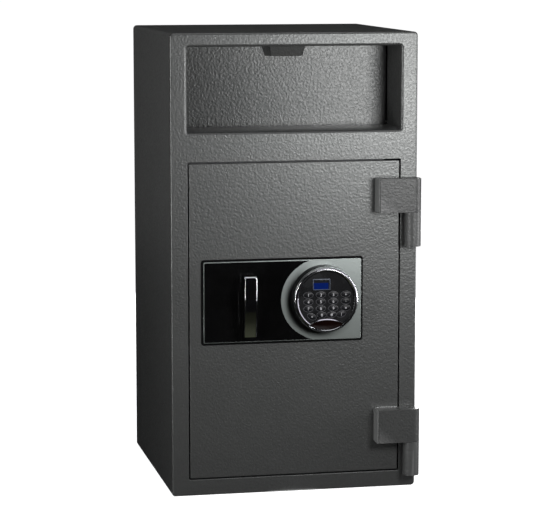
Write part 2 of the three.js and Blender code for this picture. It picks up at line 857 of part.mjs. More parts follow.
function keypadRing() {
  const half = ringWidth / 2;
  const outer = ringInnerRadius + ringWidth;
  const crown = Array.from({ length: ringCrownSteps + 1 }, (_, step) => {
    const angle = (step / ringCrownSteps) * Math.PI;
    const rise = (ringHeight - ringShoulder) * Math.sin(angle);
    return [ringInnerRadius + half + half * Math.cos(angle), ringShoulder + rise];
  });
  const profile = [[ringInnerRadius, 0], [outer, 0], ...crown, [ringInnerRadius, 0]];
  const ring = turnedAlongY(keypadX, keypadZ, housingTopDepth, profile, keypadSides);
  return ring.subtract(hatchOpening());
}

function hatchOpening() {
  const spread = runningClearance;
  const outline = lens(keypadX, hatchZ, hatchHalfWidth + spread, hatchHalfHeight + spread);
  return slab(outline, ringTopDepth - cutOverrun, housingTopDepth, ovalSteps * 2);
}

function keyPlaces() {
  const rows = keyRowShares.flatMap((row) => keyColumnShares.map((column) => [column, row, 0]));
  return [...rows, ...lastRowShares].map(([xShare, zShare, degrees]) => ({
    x: keypadX + xShare * keyPocketRadius,
    z: keypadZ + zShare * keyPocketRadius,
    turn: THREE.MathUtils.degToRad(degrees),
  }));
}

function keypadFace() {
  const outline = new THREE.Shape();
  outline.absarc(keypadX, keypadZ, ringInnerRadius - runningClearance, 0, 2 * Math.PI);
  let face = slab(outline, keypadFaceDepth, housingTopDepth, keypadSides / 2);
  const near = keypadFaceDepth - cutOverrun;
  for (const { x, z, turn } of keyPlaces()) {
    const hole = oval(x, z, keyHalfWidth + keyHoleClearance, keyHalfHeight + keyHoleClearance, turn);
    face = face.subtract(slab(hole, near, housingTopDepth + cutOverrun, ovalSteps));
  }
  const spread = runningClearance;
  const seat = rectangle(...displaySides(spread));
  const seatFloor = keypadFaceDepth + displayThickness - displayProud;
  return face.subtract(slab(seat, near, seatFloor)).subtract(hatchOpening());
}

function displaySides(spread) {
  const halfX = (displayWidthShare * keyPocketRadius) / 2 + spread;
  const halfZ = (displayHeightShare * keyPocketRadius) / 2 + spread;
  const x = keypadX + displayXShare * keyPocketRadius;
  const z = keypadZ + displayZShare * keyPocketRadius;
  return [x - halfX, x + halfX, z - halfZ, z + halfZ];
}

function displayWindow() {
  const near = keypadFaceDepth - displayProud;
  return slab(rectangle(...displaySides(0)), near, near + displayThickness);
}

// A lens-shaped hatch with a scooped middle for the thumb.
function batteryHatch() {
  const near = ringTopDepth + hatchRecess;
  const outline = lens(keypadX, hatchZ, hatchHalfWidth, hatchHalfHeight);
  const body = slab(outline, near, housingTopDepth, ovalSteps * 2);
  const scoop = new THREE.SphereGeometry(1, 2 * ovalSteps, ovalSteps);
  scoop.scale(hatchHalfWidth - 2 * hatchRim, hatchScoopDepth, hatchHalfHeight - hatchRim);
  scoop.translate(keypadX, frontY + near, hatchZ);
  return body.subtract(solidOf(scoop));
}

// A key with a rounded top and a flange behind the face that keeps it in.
function key({ x, z, turn }) {
  const top = keyProud + faceThickness;
  const settings = {
    depth: top + runningClearance - keyBevel,
    bevelEnabled: true,
    bevelThickness: keyBevel,
    bevelSize: keyBevel,
    bevelOffset: -keyBevel,
    bevelSegments: 2,
    curveSegments: ovalSteps,
  };
  const geometry = new THREE.ExtrudeGeometry(oval(x, z, keyHalfWidth, keyHalfHeight, turn), settings);
  geometry.rotateX(Math.PI / 2);
  geometry.translate(0, frontY + housingTopDepth + runningClearance, 0);
  const lip = keyFlangeLipShare * keyPocketRadius;
  const flangeOutline = oval(x, z, keyHalfWidth + lip, keyHalfHeight + lip, turn);
  const flangeNear = housingTopDepth + runningClearance;
  const flange = slab(flangeOutline, flangeNear, flangeNear + keyFlangeThickness, ovalSteps);
  return solidOf(geometry).add(flange);
}

// Handle

// The lever in side view: a boss over the spindle and a blade that leans back towards its tip.
function lever() {
  const near = panelFaceDepth - bushFlangeThickness - runningClearance;
  const top = pivotZ + leverRise;
  const tip = pivotZ - leverDrop;
  const outer = -leverProud;
  const bend = pivotZ - leverDrop / 3;
  const profile = new THREE.Shape();
  profile.moveTo(near, pivotZ - leverBossHalfHeight);
  profile.lineTo(near, pivotZ + leverBossHalfHeight - leverEdgeRadius);
  profile.lineTo(near - leverEdgeRadius, top);
  profile.lineTo(outer + 2 * leverEdgeRadius, top);
  profile.quadraticCurveTo(outer, top, outer, top - 2 * leverEdgeRadius);
  profile.quadraticCurveTo(outer, bend, outer + leverTipSetback, tip);
  profile.lineTo(outer + leverTipSetback + leverThickness, tip);
  profile.quadraticCurveTo(outer + leverThickness, bend, outer + leverThickness, pivotZ - 2 * leverBossHalfHeight);
  profile.quadraticCurveTo(outer + leverThickness, pivotZ - leverBossHalfHeight, near, pivotZ - leverBossHalfHeight);
  const settings = {
    depth: leverWidth - 2 * leverEdgeRadius,
    bevelEnabled: true,
    bevelThickness: leverEdgeRadius,
    bevelSize: leverEdgeRadius,
    bevelOffset: -leverEdgeRadius,
    bevelSegments: 3,
    curveSegments: ovalSteps,
  };
  const geometry = new THREE.ExtrudeGeometry(profile, settings);
  const turn = new THREE.Matrix4();
  turn.makeBasis(new THREE.Vector3(0, 1, 0), new THREE.Vector3(0, 0, 1), new THREE.Vector3(1, 0, 0));
  geometry.applyMatrix4(turn);
  geometry.translate(leverX - leverWidth / 2 + leverEdgeRadius, frontY, 0);
  const socket = spindleRadius + runningClearance;
  return solidOf(geometry).subtract(
    rodAlongY(leverX, pivotZ, socket, near - spindleSocketDepth, near + cutOverrun),
  );
}

function handleBush() {
  const flange = rodAlongY(leverX, pivotZ, bushFlangeRadius, panelFaceDepth - bushFlangeThickness, panelFaceDepth);
  const sleeve = rodAlongY(leverX, pivotZ, bushSleeveRadius, panelFaceDepth - bushFlangeThickness, doorThickness);
  const bore = spindleRadius + runningClearance;
  const near = panelFaceDepth - bushFlangeThickness - cutOverrun;
  return flange.add(sleeve).subtract(rodAlongY(leverX, pivotZ, bore, near, doorThickness + cutOverrun));
}

function handleSpindle() {
  const near = panelFaceDepth - bushFlangeThickness - spindleSocketDepth;
  const crankFar = crankDepth + crankThickness;
  const shaft = rodAlongY(leverX, pivotZ, spindleRadius, near, crankFar);
  const boss = rodAlongY(leverX, pivotZ, crankBossRadius, crankDepth, crankFar);
  const end = rodAlongY(crankPinX, crankPinZ, crankEndRadius, crankDepth, crankFar);
  const pinFar = webDepth + carriageThickness + crankPinSlack;
  const pin = rodAlongY(crankPinX, crankPinZ, crankPinRadius, crankDepth, pinFar);
  const arm = new THREE.BoxGeometry(2 * crankEndRadius, crankThickness, crankRadius);
  arm.translate(0, 0, -crankRadius / 2);
  arm.rotateY(-crankHalfTravel);
  arm.translate(leverX, frontY + (crankDepth + crankFar) / 2, pivotZ);
  return shaft.add(boss).add(end).add(solidOf(arm)).add(pin);
}

// Boltwork

function liveBolt(z) {
  const profile = [
    [0, 0],
    [boltRadius - boltChamfer, 0],
    [boltRadius, boltChamfer],
    [boltRadius, boltLength],
    [0, boltLength],
  ].map(([radius, length]) => new THREE.Vector2(radius, length));
  const geometry = new THREE.LatheGeometry(profile, pinSides);
  geometry.rotateZ(-Math.PI / 2);
  geometry.translate(boltTipX, frontY + boltAxisDepth, z);
  return solidOf(geometry);
}

function studPlaces() {
  const x = boltFlangeX + studFromFlange;
  return [boltHeights[0], boltHeights[2]].map((z) => ({ x, z }));
}

// An angle: the flange carries the bolts and the web has the crank's slot and two guide slots.
function boltCarriage() {
  const bottom = boltHeights[0] - carriageEndMargin;
  const top = boltHeights[2] + carriageEndMargin;
  const far = webDepth + carriageThickness;
  const flangeNear = boltAxisDepth - boltRadius - carriageFlangeInset;
  const flange = block(boltFlangeX, boltFlangeX + carriageThickness, flangeNear, far, bottom, top);
  const web = block(boltFlangeX, boltFlangeX + carriageWidth, webDepth, far, bottom, top);
  let carriage = flange.add(web);
  const slotNear = webDepth - cutOverrun;
  const slotFar = far + cutOverrun;
  const pinSlot = crankPinRadius + crankPinSlack;
  const slot = roundedRectangle(
    crankPinX - pinSlot,
    crankPinX + pinSlot,
    pivotZ - crankRadius - pinSlot,
    crankPinZ + pinSlot,
    pinSlot,
  );
  carriage = carriage.subtract(slab(slot, slotNear, slotFar));
  const guide = studRadius + crankPinSlack;
  for (const { x, z } of studPlaces()) {
    const guideSlot = roundedRectangle(x - guide, x + boltThrow + guide, z - guide, z + guide, guide);
    carriage = carriage.subtract(slab(guideSlot, slotNear, slotFar));
  }
  return carriage;
}

function guideStud({ x, z }) {
  const headNear = webDepth + carriageThickness + runningClearance;
  const headFar = headNear + studHeadThickness;
  const shank = rodAlongY(x, z, studRadius, doorThickness, headFar);
  return shank.add(rodAlongY(x, z, studHeadRadius, headNear, headFar));
}

function lockCase() {
  const left = keypadX - lockCaseHalfWidth;
  const right = keypadX + lockCaseHalfWidth;
  const outline = roundedRectangle(
    left,
    right,
    keypadZ - lockCaseHalfHeight,
    keypadZ + lockCaseHalfHeight,
    lockCaseCornerRadius,
  );
  const far = doorThickness + lockCaseDepth;
  const body = slab(outline, doorThickness, far);
  const nose = block(
    left - lockBoltLength,
    left + lockBoltLength,
    doorThickness + lockBoltMargin,
    far - lockBoltMargin,
    keypadZ - lockBoltHalfHeight,
    keypadZ + lockBoltHalfHeight,
  );
  return body.add(nose);
}

add("cabinet_shell", cabinetShell(), hammertone);
add("back_plate", backPlate(), hammertone);
add("front_frame", frontFrame(), hammertone);
add("door_jamb", doorJamb(), innerPaint);
add("recess_sill", recessSill(), hammertone);
add("hopper_cheek_left", hopperCheek(-1), hammertone);
add("hopper_cheek_right", hopperCheek(1), hammertone);
add("hopper_hood", hopperHood(), hammertone);
add("hopper_baffle", hopperBaffle(), hammertone);
add("hopper_rod", hopperRod(), zincPlate);
add("hopper_front", hopperFront(), hammertone);
add("hopper_ramp", hopperRamp(), hammertone);
add("hopper_side_left", hopperSide(-1), hammertone);
add("hopper_side_right", hopperSide(1), hammertone);
add("hopper_pull", hopperPull(), hammertone);
add("door_plate", doorPlate(), hammertone);
add("bolt_box", boltBox(), innerPaint);
add("bolt_box_cover", boltBoxCover(), innerPaint);
add("dead_bar", deadBar(), innerPaint);

const hingeNames = ["lower", "upper"];
barrelBottoms.forEach((bottom, index) => {
  add(`hinge_barrel_${hingeNames[index]}`, frameBarrel(bottom), hammertone);
  add(`hinge_strap_${hingeNames[index]}`, hingeStrap(bottom), hammertone);
  add(`hinge_pin_${hingeNames[index]}`, hingePin(bottom), brightSteel);
});

add("panel_gasket", panelGasket(), mattBlack);
add("face_plate", facePlate(), satinSilver);
add("gloss_overlay", glossOverlay(), glossBlack);
add("keypad_housing", keypadHousing(), mattBlack);
add("keypad_ring", keypadRing(), mirrorChrome);
add("keypad_face", keypadFace(), glossBlack);
add("display_window", displayWindow(), displayBlue);
add("battery_hatch", batteryHatch(), glossBlack);
keyPlaces().forEach((place, index) => {
  add(`key_${String(index + 1).padStart(2, "0")}`, key(place), keyRubber);
});

add("handle_lever", lever(), mirrorChrome);
add("handle_spindle", handleSpindle(), zincPlate);
add("handle_bush", handleBush(), mattBlack);
add("bolt_carriage", boltCarriage(), zincPlate);

const boltNames = ["bottom", "middle", "top"];
boltHeights.forEach((z, index) => add(`live_bolt_${boltNames[index]}`, liveBolt(z), brightSteel));
const studNames = ["lower", "upper"];
studPlaces().forEach((place, index) => add(`guide_stud_${studNames[index]}`, guideStud(place), zincPlate));
add("lock_case", lockCase(), caseZinc);

export default assembly;
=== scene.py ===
"""Looks for the drop safe with deposit drawer: a hammered-paint cabinet, a chrome lever and a round keypad.

The packed model is the fixed frame. Each operator dresses one group of its nodes, and the stage operator
adds the floor, the lamps and the camera. Metres throughout: +X right, +Y to the back, +Z up.
"""

import json
import math

import bmesh
import bpy
from bpy.props import FloatProperty, FloatVectorProperty, PointerProperty
from mathutils import Matrix, Vector

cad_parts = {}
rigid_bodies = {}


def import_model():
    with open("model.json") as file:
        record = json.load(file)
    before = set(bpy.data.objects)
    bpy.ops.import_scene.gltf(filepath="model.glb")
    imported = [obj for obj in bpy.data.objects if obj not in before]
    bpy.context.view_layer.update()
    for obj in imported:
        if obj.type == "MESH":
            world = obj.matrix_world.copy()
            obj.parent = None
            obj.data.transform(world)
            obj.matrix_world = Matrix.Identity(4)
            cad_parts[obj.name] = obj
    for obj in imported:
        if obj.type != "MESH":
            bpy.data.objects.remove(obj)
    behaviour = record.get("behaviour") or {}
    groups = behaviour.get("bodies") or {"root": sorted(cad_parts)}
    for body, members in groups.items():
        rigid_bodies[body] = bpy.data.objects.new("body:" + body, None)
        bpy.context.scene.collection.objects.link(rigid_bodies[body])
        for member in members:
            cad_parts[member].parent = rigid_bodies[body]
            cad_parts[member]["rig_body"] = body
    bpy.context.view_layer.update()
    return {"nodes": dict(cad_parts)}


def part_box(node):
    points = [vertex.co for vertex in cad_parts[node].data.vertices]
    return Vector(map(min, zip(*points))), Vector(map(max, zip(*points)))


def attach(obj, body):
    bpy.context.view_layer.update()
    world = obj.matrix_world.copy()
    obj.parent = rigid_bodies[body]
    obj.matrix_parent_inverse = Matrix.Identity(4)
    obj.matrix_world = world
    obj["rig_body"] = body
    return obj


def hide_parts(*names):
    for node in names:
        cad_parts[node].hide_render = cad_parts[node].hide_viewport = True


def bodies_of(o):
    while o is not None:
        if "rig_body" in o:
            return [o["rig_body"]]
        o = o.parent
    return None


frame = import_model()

bl_info = {
    "name": "Drop safe looks",
    "version": (1, 0, 0),
    "blender": (4, 5, 0),
    "location": "View3D > Sidebar > Drop safe",
    "description": "Dresses the drop safe: hammered paint, lock panel, keypad, lever, bolts and stage",
    "category": "Object",
}

WELD_DISTANCE = 2e-6
TIP_RADIUS = 1e-9
FLAT_ANGLE = math.radians(0.5)
SHARP_ANGLE = math.radians(38)
EDGE_ANGLE = math.radians(30)
SHARPEST_MITRE = 0.5
SQUARE_CORNERS = ((-1, -1), (1, -1), (1, 1), (-1, 1))

# A weld bead: its step for its radius, its ripples with their height, pace and turn, and its tapered ends
BEAD_STEP_SHARE = 0.55
BEAD_RIPPLES = ((0.14, 2.1, 1), (0.09, 0.73, 2))
BEAD_END_SHARE, BEAD_END_PACE, BEAD_END_STEPS = 0.35, 3, 12
BEAD_LEAST_STEPS, BEAD_SIDES = 6, 10

# A screw head: its outline, its cross slot's width and length, and the slot's floor and top, as shares
SCREW_HEAD_SHARES = ((0, 0.62), (0.45, 0.58), (0.8, 0.42), (0.96, 0.2), (1.0, 0.0), (0.9, -0.15), (0, -0.15))
SCREW_SLOT_SHARES, SCREW_SLOT_HEIGHT_SHARES = (0.09, 0.5), (0.25, 0.8)
SCREW_SIDES = 28

# Printed numbers: a digit's height for the size of type, and the print's thickness, weight and steps
CAPITAL_SHARE = 0.73
PRINT_THICKNESS, PRINT_WEIGHT = 0.00006, 0.00007
PRINT_STEPS = 4

# Directions that a turned piece can face, each with its two cross directions before it
TOWARDS_VIEWER = (Vector((1, 0, 0)), Vector((0, 0, 1)), Vector((0, -1, 0)))
UPWARDS = (Vector((1, 0, 0)), Vector((0, 1, 0)), Vector((0, 0, 1)))


# Settings


def colour_property(name, description, default):
    """A colour setting."""
    return FloatVectorProperty(
        name=name, description=description, default=default, subtype="COLOR", size=3, min=0, max=1
    )


def length_property(name, description, default):
    """A length setting."""
    return FloatProperty(
        name=name, description=description, default=default, unit="LENGTH", min=0, precision=4
    )


def share_property(name, description, default):
    """A setting from 0 to 1."""
    return FloatProperty(
        name=name, description=description, default=default, subtype="FACTOR", min=0, max=1
    )


def power_property(name, description, default):
    """A lamp's power."""
    return FloatProperty(name=name, description=description, default=default, unit="POWER", min=0)


class SafePaintSettings(bpy.types.PropertyGroup):
    """Hammered powder coat of the cabinet, hopper and door."""

    colour: colour_property("Colour", "Body colour of the hammered paint", (0.118, 0.121, 0.119))
    swell_colour: colour_property("Swell colour", "Lighter flake on the swellings", (0.134, 0.137, 0.135))
    worn_colour: colour_property("Worn colour", "Paint that is rubbed at its edges", (0.3, 0.3, 0.3))
    inner_colour: colour_property("Inner colour", "Plain paint on bolt box and stop", (0.05, 0.052, 0.055))
    dimple_size: length_property("Dimple size", "Distance between the hammered dimples", 0.0036)
    dimple_depth: length_property("Dimple depth", "Depth of the hammered dimples", 0.00022)
    roughness: share_property("Roughness", "Roughness of the paint between dimples", 0.4)
    flake: share_property("Flake", "How metallic the paint is", 0.7)
    edge_radius: length_property("Edge radius", "Rounding of painted sheet edges", 0.0007)
    front_edge_radius: length_property("Front edge radius", "Rounding round the front of the cabinet", 0.0016)


class SafePanelSettings(bpy.types.PropertyGroup):
    """Lock panel, keypad and display."""

    silver: colour_property("Silver", "Satin metal plate behind the keypad", (0.47, 0.515, 0.5))
    gloss_black: colour_property("Gloss black", "Lacquered overlay", (0.0026, 0.0026, 0.0027))
    matt_black: colour_property("Matt black", "Gasket and bush", (0.002, 0.002, 0.0022))
    housing_colour: colour_property("Housing colour", "Moulded keypad housing", (0.0025, 0.0025, 0.0028))
    face_colour: colour_property("Face colour", "Glossy keypad face", (0.007, 0.0072, 0.008))
    collar_colour: colour_property("Collar colour", "Lips round the keys", (0.075, 0.075, 0.082))
    hatch_colour: colour_property("Hatch colour", "Smoked brown battery hatch", (0.0045, 0.0015, 0.0012))
    bezel_colour: colour_property("Bezel colour", "Frame round the display", (0.05, 0.06, 0.085))
    unlit_colour: colour_property("Unlit colour", "Dark part of the display", (0.012, 0.013, 0.016))
    display_blue: colour_property("Display blue", "Lit part of the display", (0.0, 0.008, 0.085))
    key_colour: colour_property("Key colour", "Moulded keys", (0.007, 0.0072, 0.0085))
    legend_colour: colour_property("Legend colour", "Numbers printed on the keys", (0.5, 0.5, 0.52))
    legend_height: length_property("Legend height", "Height of the numbers on the keys", 0.0044)
    collar_width: length_property("Collar width", "Raised lip round each key", 0.00065)


class SafeMetalSettings(bpy.types.PropertyGroup):
    """Bare and plated metal."""

    chrome: colour_property("Chrome", "Lever and keypad ring", (0.83, 0.84, 0.86))
    zinc: colour_property("Zinc plate", "Boltwork, rod and screws", (0.5, 0.5, 0.47))
    steel: colour_property("Steel", "Ground bolts and hinge pins", (0.58, 0.59, 0.6))
    casting: colour_property("Casting", "Die-cast lock case", (0.28, 0.285, 0.29))
    screw_radius: length_property("Screw radius", "Head radius of the cover screws", 0.0035)
    weld_radius: length_property("Weld radius", "Radius of the weld beads", 0.0016)


class SafeStageSettings(bpy.types.PropertyGroup):
    """Floor, drapes, lamps and camera."""

    floor_colour: colour_property("Floor colour", "Pale floor round the object", (0.62, 0.62, 0.62))
    world_colour: colour_property("World colour", "Plain surroundings", (0.15, 0.15, 0.155))
    drape_colour: colour_property("Drape colour", "Dark drapes that metal reflects", (0.004, 0.004, 0.0045))
    mat_colour: colour_property("Mat colour", "Olive mat in front that metal reflects", (0.066, 0.071, 0.047))
    card_colour: colour_property("Card colour", "Grey card behind at the left", (0.1, 0.1, 0.1))
    arch_colour: colour_property("Arch colour", "Bright arch that the ring reflects", (0.85, 0.82, 0.92))
    drape_radius: length_property("Drape radius", "How far the dark drapes stand from the middle", 2.9)
    drape_height: length_property("Drape height", "Height of the dark drapes", 4.5)
    bare_floor: length_property("Bare floor", "Radius of white floor left round the object", 0.19)
    key_power: power_property("Key power", "Softbox in front, high at the right", 4.6)
    rim_power: power_property("Rim power", "Tall strip lamp at the right", 9)
    edge_power: power_property("Edge power", "Tall strip lamp at the left", 8.6)
    back_power: power_property("Back power", "Softbox behind, for the back and the right side", 22)
    camera_place: FloatVectorProperty(
        name="Camera place", description="Where the camera stands", default=(-0.7217, -3.4793, 0.8251),
        subtype="TRANSLATION", unit="LENGTH",
    )
    camera_turn: FloatVectorProperty(
        name="Camera turn", description="How the camera is turned", subtype="EULER", unit="ROTATION",
        default=(math.radians(82.108), 0, math.radians(-11.894)),
    )
    lens: FloatProperty(name="Lens", description="Focal length on a 36 mm wide sensor, in mm", default=146.36)


# Outlines and solids


def full_turn(sides):
    """The angles of a full turn in even steps."""
    return [2 * math.pi * i / sides for i in range(sides)]


def quarter_turn(steps):
    """The angles of a quarter turn in even steps, both ends included."""
    return [math.pi / 2 * i / steps for i in range(steps + 1)]


def skinned(rings, closed=False):
    """A solid skinned over equal rings of points. A ring of one point is a tip."""
    bm = bmesh.new()
    made = [[bm.verts.new(point) for point in ring] for ring in rings]
    pairs = list(zip(made, made[1:]))
    if closed:
        pairs.append((made[-1], made[0]))
    for a, b in pairs:
        count = max(len(a), len(b))
        for i in range(count):
            j = (i + 1) % count
            corners = [a[i % len(a)], a[j % len(a)], b[j % len(b)], b[i % len(b)]]
            unique = list(dict.fromkeys(corners))
            if len(unique) > 2:
                bm.faces.new(unique)
    if not closed:
        for ring in (made[0], made[-1]):
            if len(ring) > 2:
                bm.faces.new(ring)
    bmesh.ops.recalc_face_normals(bm, faces=bm.faces)
    return bm


def turned(profile, centre, axes, sides, closed=False):
    """Turns pairs of radius and height about an axis through the centre."""
    across, up, along = axes
    rings = []
    for radius, height in profile:
        base = Vector(centre) + along * height
        ring = [base + across * radius * math.cos(a) + up * radius * math.sin(a) for a in full_turn(sides)]
        rings.append(ring if radius > TIP_RADIUS else ring[:1])
    return skinned(rings, closed)


def rounding(inset, height, radius, steps):
    """Inset and height pairs of a quarter round that starts upright and ends flat."""
    return [(inset + radius * (1 - math.cos(a)), height + radius * math.sin(a)) for a in quarter_turn(steps)]


def oval(x, z, half_width, half_height, turn=0.0, sides=56):
    """A round or oval outline that can be drawn in by an inset and scaled by a share."""
    def points(inset, share):
        wide, high = (half_width - inset) * share, (half_height - inset) * share
        flat = [(wide * math.cos(a), high * math.sin(a)) for a in full_turn(sides)]
        return [(x + u * math.cos(turn) - v * math.sin(turn), z + u * math.sin(turn) + v * math.cos(turn))
                for u, v in flat]
    return points


def lens(x, z, half_width, half_height, steps=40):
    """Two arcs that meet at the left and right."""
    def points(inset, share):
        wide, high = (half_width - inset) * share, (half_height - inset) * share
        radius = (wide * wide + high * high) / (2 * high)
        reach = math.asin(wide / radius)
        sweep = [reach - 2 * reach * i / steps for i in range(steps)]
        upper = [(x + radius * math.sin(a), z + high - radius + radius * math.cos(a)) for a in sweep]
        lower = [(x - radius * math.sin(a), z - high + radius - radius * math.cos(a)) for a in sweep]
        return upper + lower
    return points


def rounded_box(x, z, half_width, half_height, radius, steps=6):
    """A rectangle with round corners."""
    def points(inset, share):
        wide, high = (half_width - inset) * share, (half_height - inset) * share
        turn = max(radius - inset, radius / 4)
        found = []
        for corner in range(4):
            side_x, side_z = ((1, 1), (-1, 1), (-1, -1), (1, -1))[corner]
            for i in range(steps + 1):
                a = math.pi / 2 * (corner + i / steps)
                found.append((x + side_x * (wide - turn) + turn * math.cos(a),
                              z + side_z * (high - turn) + turn * math.sin(a)))
        return found
    return points


def front_outline(node, kind, *sizes):
    """An outline of the given kind that fills the front of a frame node."""
    low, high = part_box(node)
    halves = (high.x - low.x) / 2, (high.z - low.z) / 2
    return kind((low.x + high.x) / 2, (low.z + high.z) / 2, *halves, *sizes)


def stacked(outline, base, profile, closed=False):
    """A solid of an outline's rings, each at an inset, a height towards the viewer and maybe a share."""
    rings = []
    for inset, height, *share in profile:
        share = share[0] if share else 1.0
        ring = [Vector((x, base - height, z)) for x, z in outline(inset, share or 1.0)]
        rings.append([sum(ring, Vector()) / len(ring)] if share == 0 else ring)
    return skinned(rings, closed)


def drawn_in(outline, distance):
    """A closed outline of flat points, drawn in along the lines that halve its corners."""
    area = sum(a[0] * b[1] - b[0] * a[1] for a, b in zip(outline, outline[1:] + outline[:1]))
    side = math.copysign(distance, area)
    found = []
    for before, point, after in zip(outline[-1:] + outline[:-1], outline, outline[1:] + outline[:1]):
        arriving = (Vector(point) - Vector(before)).normalized()
        leaving = (Vector(after) - Vector(point)).normalized()
        inward = Vector((-arriving.y - leaving.y, arriving.x + leaving.x))
        reach = side * 2 / max(inward.length_squared, SHARPEST_MITRE)
        found.append((point[0] + inward.x * reach, point[1] + inward.y * reach))
    return found


def extruded(outline, left, right, left_radius, right_radius, steps=7):
    """An outline of Y and Z pairs, solid from one X to another, with the edges of both sides rounded."""
    angles = quarter_turn(steps)
    slices = [(left + left_radius * (1 - math.cos(a)), left_radius * (1 - math.sin(a))) for a in angles]
    slices += [(right - right_radius * (1 - math.cos(a)), right_radius * (1 - math.sin(a)))
               for a in reversed(angles)]
    return skinned([[Vector((x, y, z)) for y, z in drawn_in(outline, inset)] for x, inset in slices])


def curve_points(start, control, end, steps):
    """Points of a quadratic curve, without its start."""
    found = []
    for i in range(1, steps + 1):
        t = i / steps
        found.append(tuple(
            (1 - t) ** 2 * a + 2 * t * (1 - t) * b + t * t * c for a, b, c in zip(start, control, end)
        ))
    return found


def weld_bead(start, end, radius, seed):
    """A rippled bead that runs along a corner, half sunk in it."""
    start, end = Vector(start), Vector(end)
    along = end - start
    across = along.orthogonal().normalized()
    up = along.normalized().cross(across)
    count = max(BEAD_LEAST_STEPS, round(along.length / (radius * BEAD_STEP_SHARE)))
    rings = []
    for i in range(count + 1):
        share = i / count
        swell = 1 + sum(height * math.sin(pace * i + turn * seed) for height, pace, turn in BEAD_RIPPLES)
        taper = min(1.0, BEAD_END_SHARE + BEAD_END_PACE * share,
                    BEAD_END_SHARE + BEAD_END_PACE * (1 - share) * count / BEAD_END_STEPS)
        middle, reach = start + along * share, radius * swell * taper
        rings.append([
            middle + reach * (across * math.cos(a) + up * math.sin(a)) for a in full_turn(BEAD_SIDES)
        ])
    return skinned(rings)


def screw(radius):
    """A pan head with a cross slot, standing on the origin along Z."""
    bm = turned([(r * radius, h * radius) for r, h in SCREW_HEAD_SHARES], (0, 0, 0), UPWARDS, SCREW_SIDES)
    for wide, long in (SCREW_SLOT_SHARES, SCREW_SLOT_SHARES[::-1]):
        ring = [(x * wide * radius, y * long * radius) for x, y in SQUARE_CORNERS]
        bm = cut_away(bm, skinned([
            [Vector((x, y, z * radius)) for x, y in ring] for z in SCREW_SLOT_HEIGHT_SHARES
        ]))
    return bm


# Meshes and pieces


def add_object(name, data):
    """A new object in the scene that holds the given data."""
    obj = bpy.data.objects.new(name, data)
    bpy.context.scene.collection.objects.link(obj)
    return obj


def as_mesh(name, bm):
    """The mesh data of a mesh under construction, which is freed."""
    mesh = bpy.data.meshes.new(name)
    bm.to_mesh(mesh)
    bm.free()
    return mesh


def shown_mesh(obj):
    """A welded mesh of what an object shows once its modifiers have run."""
    shown = obj.evaluated_get(bpy.context.evaluated_depsgraph_get())
    bm = bmesh.new()
    bm.from_mesh(shown.to_mesh())
    shown.to_mesh_clear()
    bmesh.ops.remove_doubles(bm, verts=bm.verts, dist=WELD_DISTANCE)
    return bm


def with_whole_faces(bm):
    """Joins the triangles and strips that lie in one flat face."""
    bmesh.ops.dissolve_limit(bm, angle_limit=FLAT_ANGLE, verts=bm.verts, edges=bm.edges)
    return bm


def node_mesh(node):
    """The mesh of a frame node, welded and with its flat faces whole, free to be changed."""
    bm = bmesh.new()
    bm.from_mesh(frame["nodes"][node].data)
    bmesh.ops.remove_doubles(bm, verts=bm.verts, dist=WELD_DISTANCE)
    return with_whole_faces(bm)


def soften(bm, radius, steps=2, where=None):
    """Rounds the edges that turn sharply, or those of them whose middle passes the test where."""
    edges = [e for e in bm.edges if len(e.link_faces) == 2 and e.calc_face_angle(0) > EDGE_ANGLE]
    if where is not None:
        edges = [e for e in edges if where((e.verts[0].co + e.verts[1].co) / 2)]
    bmesh.ops.bevel(
        bm, geom=edges, offset=radius, offset_type="OFFSET", segments=steps, profile=0.5,
        affect="EDGES", clamp_overlap=True,
    )
    return bm


def printing(text, height, x, y, z, turn):
    """Numbers that stand a hair off a key and face the viewer."""
    curve = bpy.data.curves.new("printing", "FONT")
    curve.body = text
    curve.size = height / CAPITAL_SHARE
    curve.extrude = PRINT_THICKNESS
    curve.offset = PRINT_WEIGHT
    curve.resolution_u = PRINT_STEPS
    curve.align_x, curve.align_y = "CENTER", "CENTER"
    obj = add_object("printing", curve)
    bm = shown_mesh(obj)
    bpy.data.objects.remove(obj)
    bpy.data.curves.remove(curve)
    low = [min(v.co[i] for v in bm.verts) for i in range(3)]
    high = [max(v.co[i] for v in bm.verts) for i in range(3)]
    middle = Vector([(a + b) / 2 for a, b in zip(low, high)])
    upright = Matrix.Rotation(-turn, 4, "Y") @ Matrix.Rotation(math.pi / 2, 4, "X")
    matrix = Matrix.Translation((x, y, z)) @ upright @ Matrix.Translation(-middle)
    bmesh.ops.transform(bm, matrix=matrix, verts=bm.verts)
    return bm


def merged(parts):
    """One mesh of all the given ones. A part may come with the number of its finish."""
    whole = bmesh.new()
    for part in parts:
        part, finish = part if isinstance(part, tuple) else (part, 0)
        for face in part.faces:
            face.material_index = finish
        mesh = as_mesh("part", part)
        whole.from_mesh(mesh)
        bpy.data.meshes.remove(mesh)
    return whole


def moved_copy(bm, matrix):
    """A copy of a mesh, put in its place."""
    copy = bm.copy()
    bmesh.ops.transform(copy, matrix=matrix, verts=copy.verts)
    return copy


def cut_away(bm, cutter):
    """The first mesh with the second one cut out of it."""
    objects = [add_object("cutting", as_mesh("cutting", source)) for source in (bm, cutter)]
    modifier = objects[0].modifiers.new("Cut", "BOOLEAN")
    modifier.operation = "DIFFERENCE"
    modifier.solver = "EXACT"
    modifier.object = objects[1]
    result = shown_mesh(objects[0])
    for obj in objects:
        mesh = obj.data
        bpy.data.objects.remove(obj)
        bpy.data.meshes.remove(mesh)
    return with_whole_faces(result)


